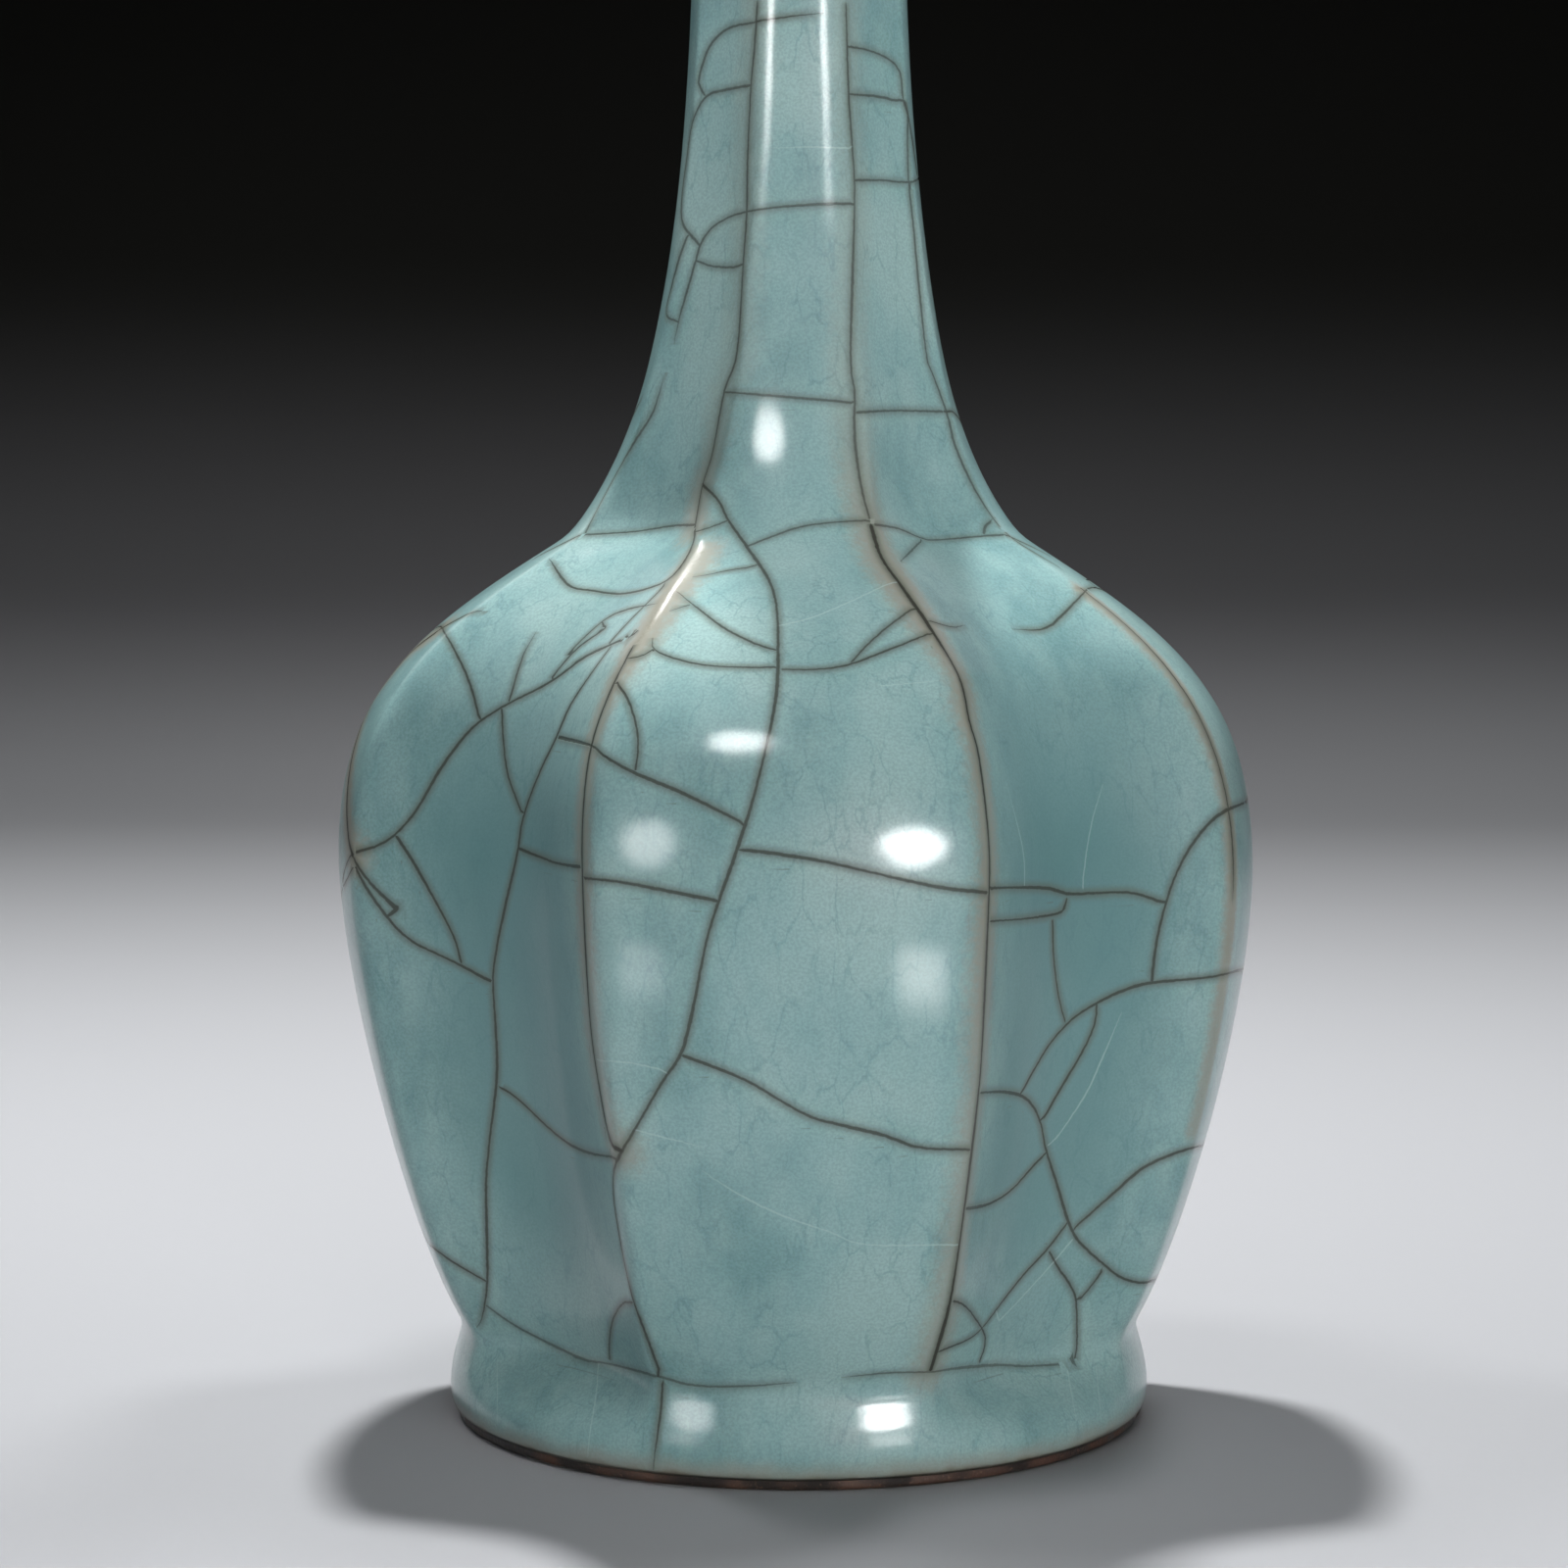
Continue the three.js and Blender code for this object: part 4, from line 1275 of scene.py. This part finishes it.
def dress_clay(material):
    finish = Finish(material, CLAY)
    finish.lay(finish.noise(18 * MM, 4.0), PALER_CLAY)
    finish.lay(finish.ramp(finish.noise(0.9 * MM), 0.64, 0.74, 0.0, 0.7), DARK_GRIT)
    finish.lay(finish.ramp(finish.noise(0.6 * MM), 0.66, 0.75, 0.0, 0.6), PALE_GRIT)
    return finish.wear({
        "Roughness": finish.ramp(finish.noise(4 * MM, 3.0), 0.3, 0.7, 0.72, 0.9),
        "Normal": finish.bumped(finish.noise(1.1 * MM, 5.0), 0.15 * MM)})


stoneware = bpy.data.materials.new("grey_stoneware_clay")
print("clay finish:", dress_clay(stoneware), "nodes")
for node in CLAY_NODES:
    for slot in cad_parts[node].material_slots:
        slot.material = stoneware

# %% [markdown]
# The vase stands on a sheet of paper that sweeps up behind it in one curve, so no edge shows. The
# paper is pale under the vase and darker behind and above: painted shade, where the lamps' light
# would fall off.
# %% The paper
FLOOR_FRONT, FLOOR_BACK, SWEEP_RADIUS, WALL_TOP, HALF_WIDTH = -2.2, 1.25, 0.8, 2.2, 5.0
PAPER, PAPER_SHADE_BEHIND, PAPER_SHADE_ABOVE = (0.31, 0.315, 0.328), (0.12, 0.12, 0.125), (0.022, 0.022, 0.020)
# Heights between which painted shade darkens the paper
BEHIND_RISE, ABOVE_RISE = (0.0, 0.12), (0.08, 0.34)
RISE_WAVE, RISE_WAVE_SIZE, SWEEP_STEPS = 0.01, 0.2, 25


def dress_paper(material):
    finish = Finish(material, PAPER)
    # Painted shade: the paper darkens with height
    rise = finish.split(finish.point)[2] + (finish.noise(RISE_WAVE_SIZE) - 0.5) * RISE_WAVE
    finish.lay(finish.ramp(rise, *BEHIND_RISE), PAPER_SHADE_BEHIND)
    finish.lay(finish.ramp(rise, *ABOVE_RISE), PAPER_SHADE_ABOVE)
    return finish.wear({"Roughness": 1.0, "Specular IOR Level": 0.0,
                        "Normal": finish.bumped(finish.noise(2 * MM, 3.0), 0.03 * MM)})


profile = [(FLOOR_FRONT, 0.0)]
for bend in np.linspace(0, math.pi / 2, SWEEP_STEPS):
    profile.append((FLOOR_BACK + SWEEP_RADIUS * math.sin(bend), SWEEP_RADIUS * (1 - math.cos(bend))))
profile.append((FLOOR_BACK + SWEEP_RADIUS, WALL_TOP))
paper_mesh = bpy.data.meshes.new("paper")
paper_mesh.from_pydata(
    [(side * HALF_WIDTH, y, z) for y, z in profile for side in (-1, 1)], [],
    [(2 * i, 2 * i + 1, 2 * i + 3, 2 * i + 2) for i in range(len(profile) - 1)])
paper_mesh.shade_smooth()
paper = placed("paper", paper_mesh)
paper_finish = bpy.data.materials.new("paper_painted_shade")
paper_mesh.materials.append(paper_finish)
print("paper finish:", dress_paper(paper_finish), "nodes")

# %% [markdown]
# The light is soft and comes from several sides. The reflections on the panels tell where the boxes
# stood: one to the right and a weaker one to the left, about thirty degrees from the lens and level
# with the neck, and a third over the front. Highlights and the light on the surface are set apart
# here, so some lamps are only mirrored and others only light. Those with a narrow cone reach one part
# of the picture: the neck, the body, the foot or the paper in front.
# %% The lamps
LIT_HEIGHT = 0.12
PAPER_IN_FRONT, PAPER_AT_BACK = Vector((0, -0.35, 0)), Vector((0, 1.6, 0))
STREAK_PIXEL = (680, 612)
ROOM_COLOUR, ROOM_STRENGTH = (0.5, 0.53, 0.56, 1), 0.015


def lamp(name, azimuth, distance, height, width, tall, power, use, aim=LIT_HEIGHT, cone=180):
    """A soft box at an azimuth from the front, towards +X, used to light or to be mirrored.

    Its aim is a place, or a height on the vase's axis, and its cone is in degrees.
    """
    data = bpy.data.lights.new(name, "AREA")
    data.shape = "RECTANGLE" if "card" in name else "ELLIPSE"
    data.size, data.size_y, data.energy, data.spread = width, tall, power, math.radians(cone)
    box = placed(name, data)
    turn = math.radians(azimuth)
    box.location = (distance * math.sin(turn), -distance * math.cos(turn), height)
    target = aim if isinstance(aim, Vector) else Vector((0, 0, aim))
    box.rotation_euler = (box.location - target).to_track_quat("Z", "Y").to_euler()
    box.visible_glossy = use == "mirrored"
    box.visible_diffuse = use == "light"
    box.visible_camera = False
    return power


# Azimuth, distance, height, width, tallness and watts, then the use, the aim and the cone
powers = [
    lamp("right_box", 28, 1.0, 0.25, 0.28, 0.17, 7.5, "mirrored"),
    lamp("left_box", -33, 1.0, 0.25, 0.24, 0.24, 2.6, "mirrored"),
    lamp("low_key", 16, 1.4, 0.18, 0.40, 0.30, 0.25, "light", 0.0, 24),
    lamp("high_key", 14, 0.5, 0.31, 0.20, 0.20, 0.125, "light", 0.29, 45),
    lamp("right_fill", 45, 1.0, 0.14, 0.30, 0.30, 0.015, "light", 0.09, 22),
    lamp("left_fill", -60, 1.0, 0.14, 0.30, 0.30, 0.003, "light", 0.09, 22),
    lamp("right_strip", 26, 1.0, 0.49, 0.13, 0.17, 0.014, "mirrored", 0.277, 12),
    lamp("left_strip", -29, 1.0, 0.49, 0.13, 0.17, 0.014, "mirrored", 0.277, 12),
    lamp("top_box", -15, 0.55, 0.67, 0.18, 0.14, 2.6, "mirrored"),
    lamp("floor_key", 0, 0.45, 1.0, 0.20, 0.20, 0.26, "light", PAPER_IN_FRONT, 40),
    lamp("crown", 0, 0.55, 0.75, 0.20, 0.20, 0.15, "light"),
    lamp("left_panel", -105, 0.50, 0.95, 0.22, 0.22, 2.8, "light"),
    lamp("right_panel", 125, 0.36, 1.1, 0.22, 0.22, 4.8, "light"),
    lamp("left_rim", -145, 1.2, 0.75, 0.70, 0.40, 0.5, "mirrored"),
    lamp("right_rim", 145, 1.2, 0.75, 0.70, 0.40, 0.3, "mirrored"),
    lamp("left_streak", -141, 0.55, 0.99, 0.22, 0.05, 0.006, "mirrored", seen_at(*STREAK_PIXEL), 12),
    lamp("right_card", 27, 0.29, 0.006, 0.055, 0.06, 0.15, "mirrored"),
    lamp("left_card", -32, 0.29, 0.006, 0.05, 0.06, 0.07, "mirrored"),
    lamp("overhead", -165, 0.39, 1.10, 0.10, 0.10, 20.5, "light", 0.0),
    lamp("paper_box", 180, 0.70, 1.0, 1.2, 0.3, 0.8, "light", PAPER_AT_BACK),
]
room = bpy.data.worlds.new("room")
room.use_nodes = True
background = room.node_tree.nodes["Background"]
background.inputs["Color"].default_value = ROOM_COLOUR
background.inputs["Strength"].default_value = ROOM_STRENGTH
bpy.context.scene.world = room
bpy.context.scene.view_settings.view_transform = "Standard"
print("lamps of", powers, "watts")

# %% [markdown]
# Last, each skin rides on the root body, and the plain solid of the imported model that it stands
# for is hidden.
# %% Handing the pieces over
for piece, node, slot in ((outer_glaze, "outer_glaze", "celadon_glaze"),
                          (inner_glaze, "inner_glaze", "inner_glaze"),
                          (base_glaze, "base_glaze", "inner_glaze"),
                          (foot_ring, "foot_ring", "iron_foot")):
    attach(piece, "root")
    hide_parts(node)
bpy.context.view_layer.update()
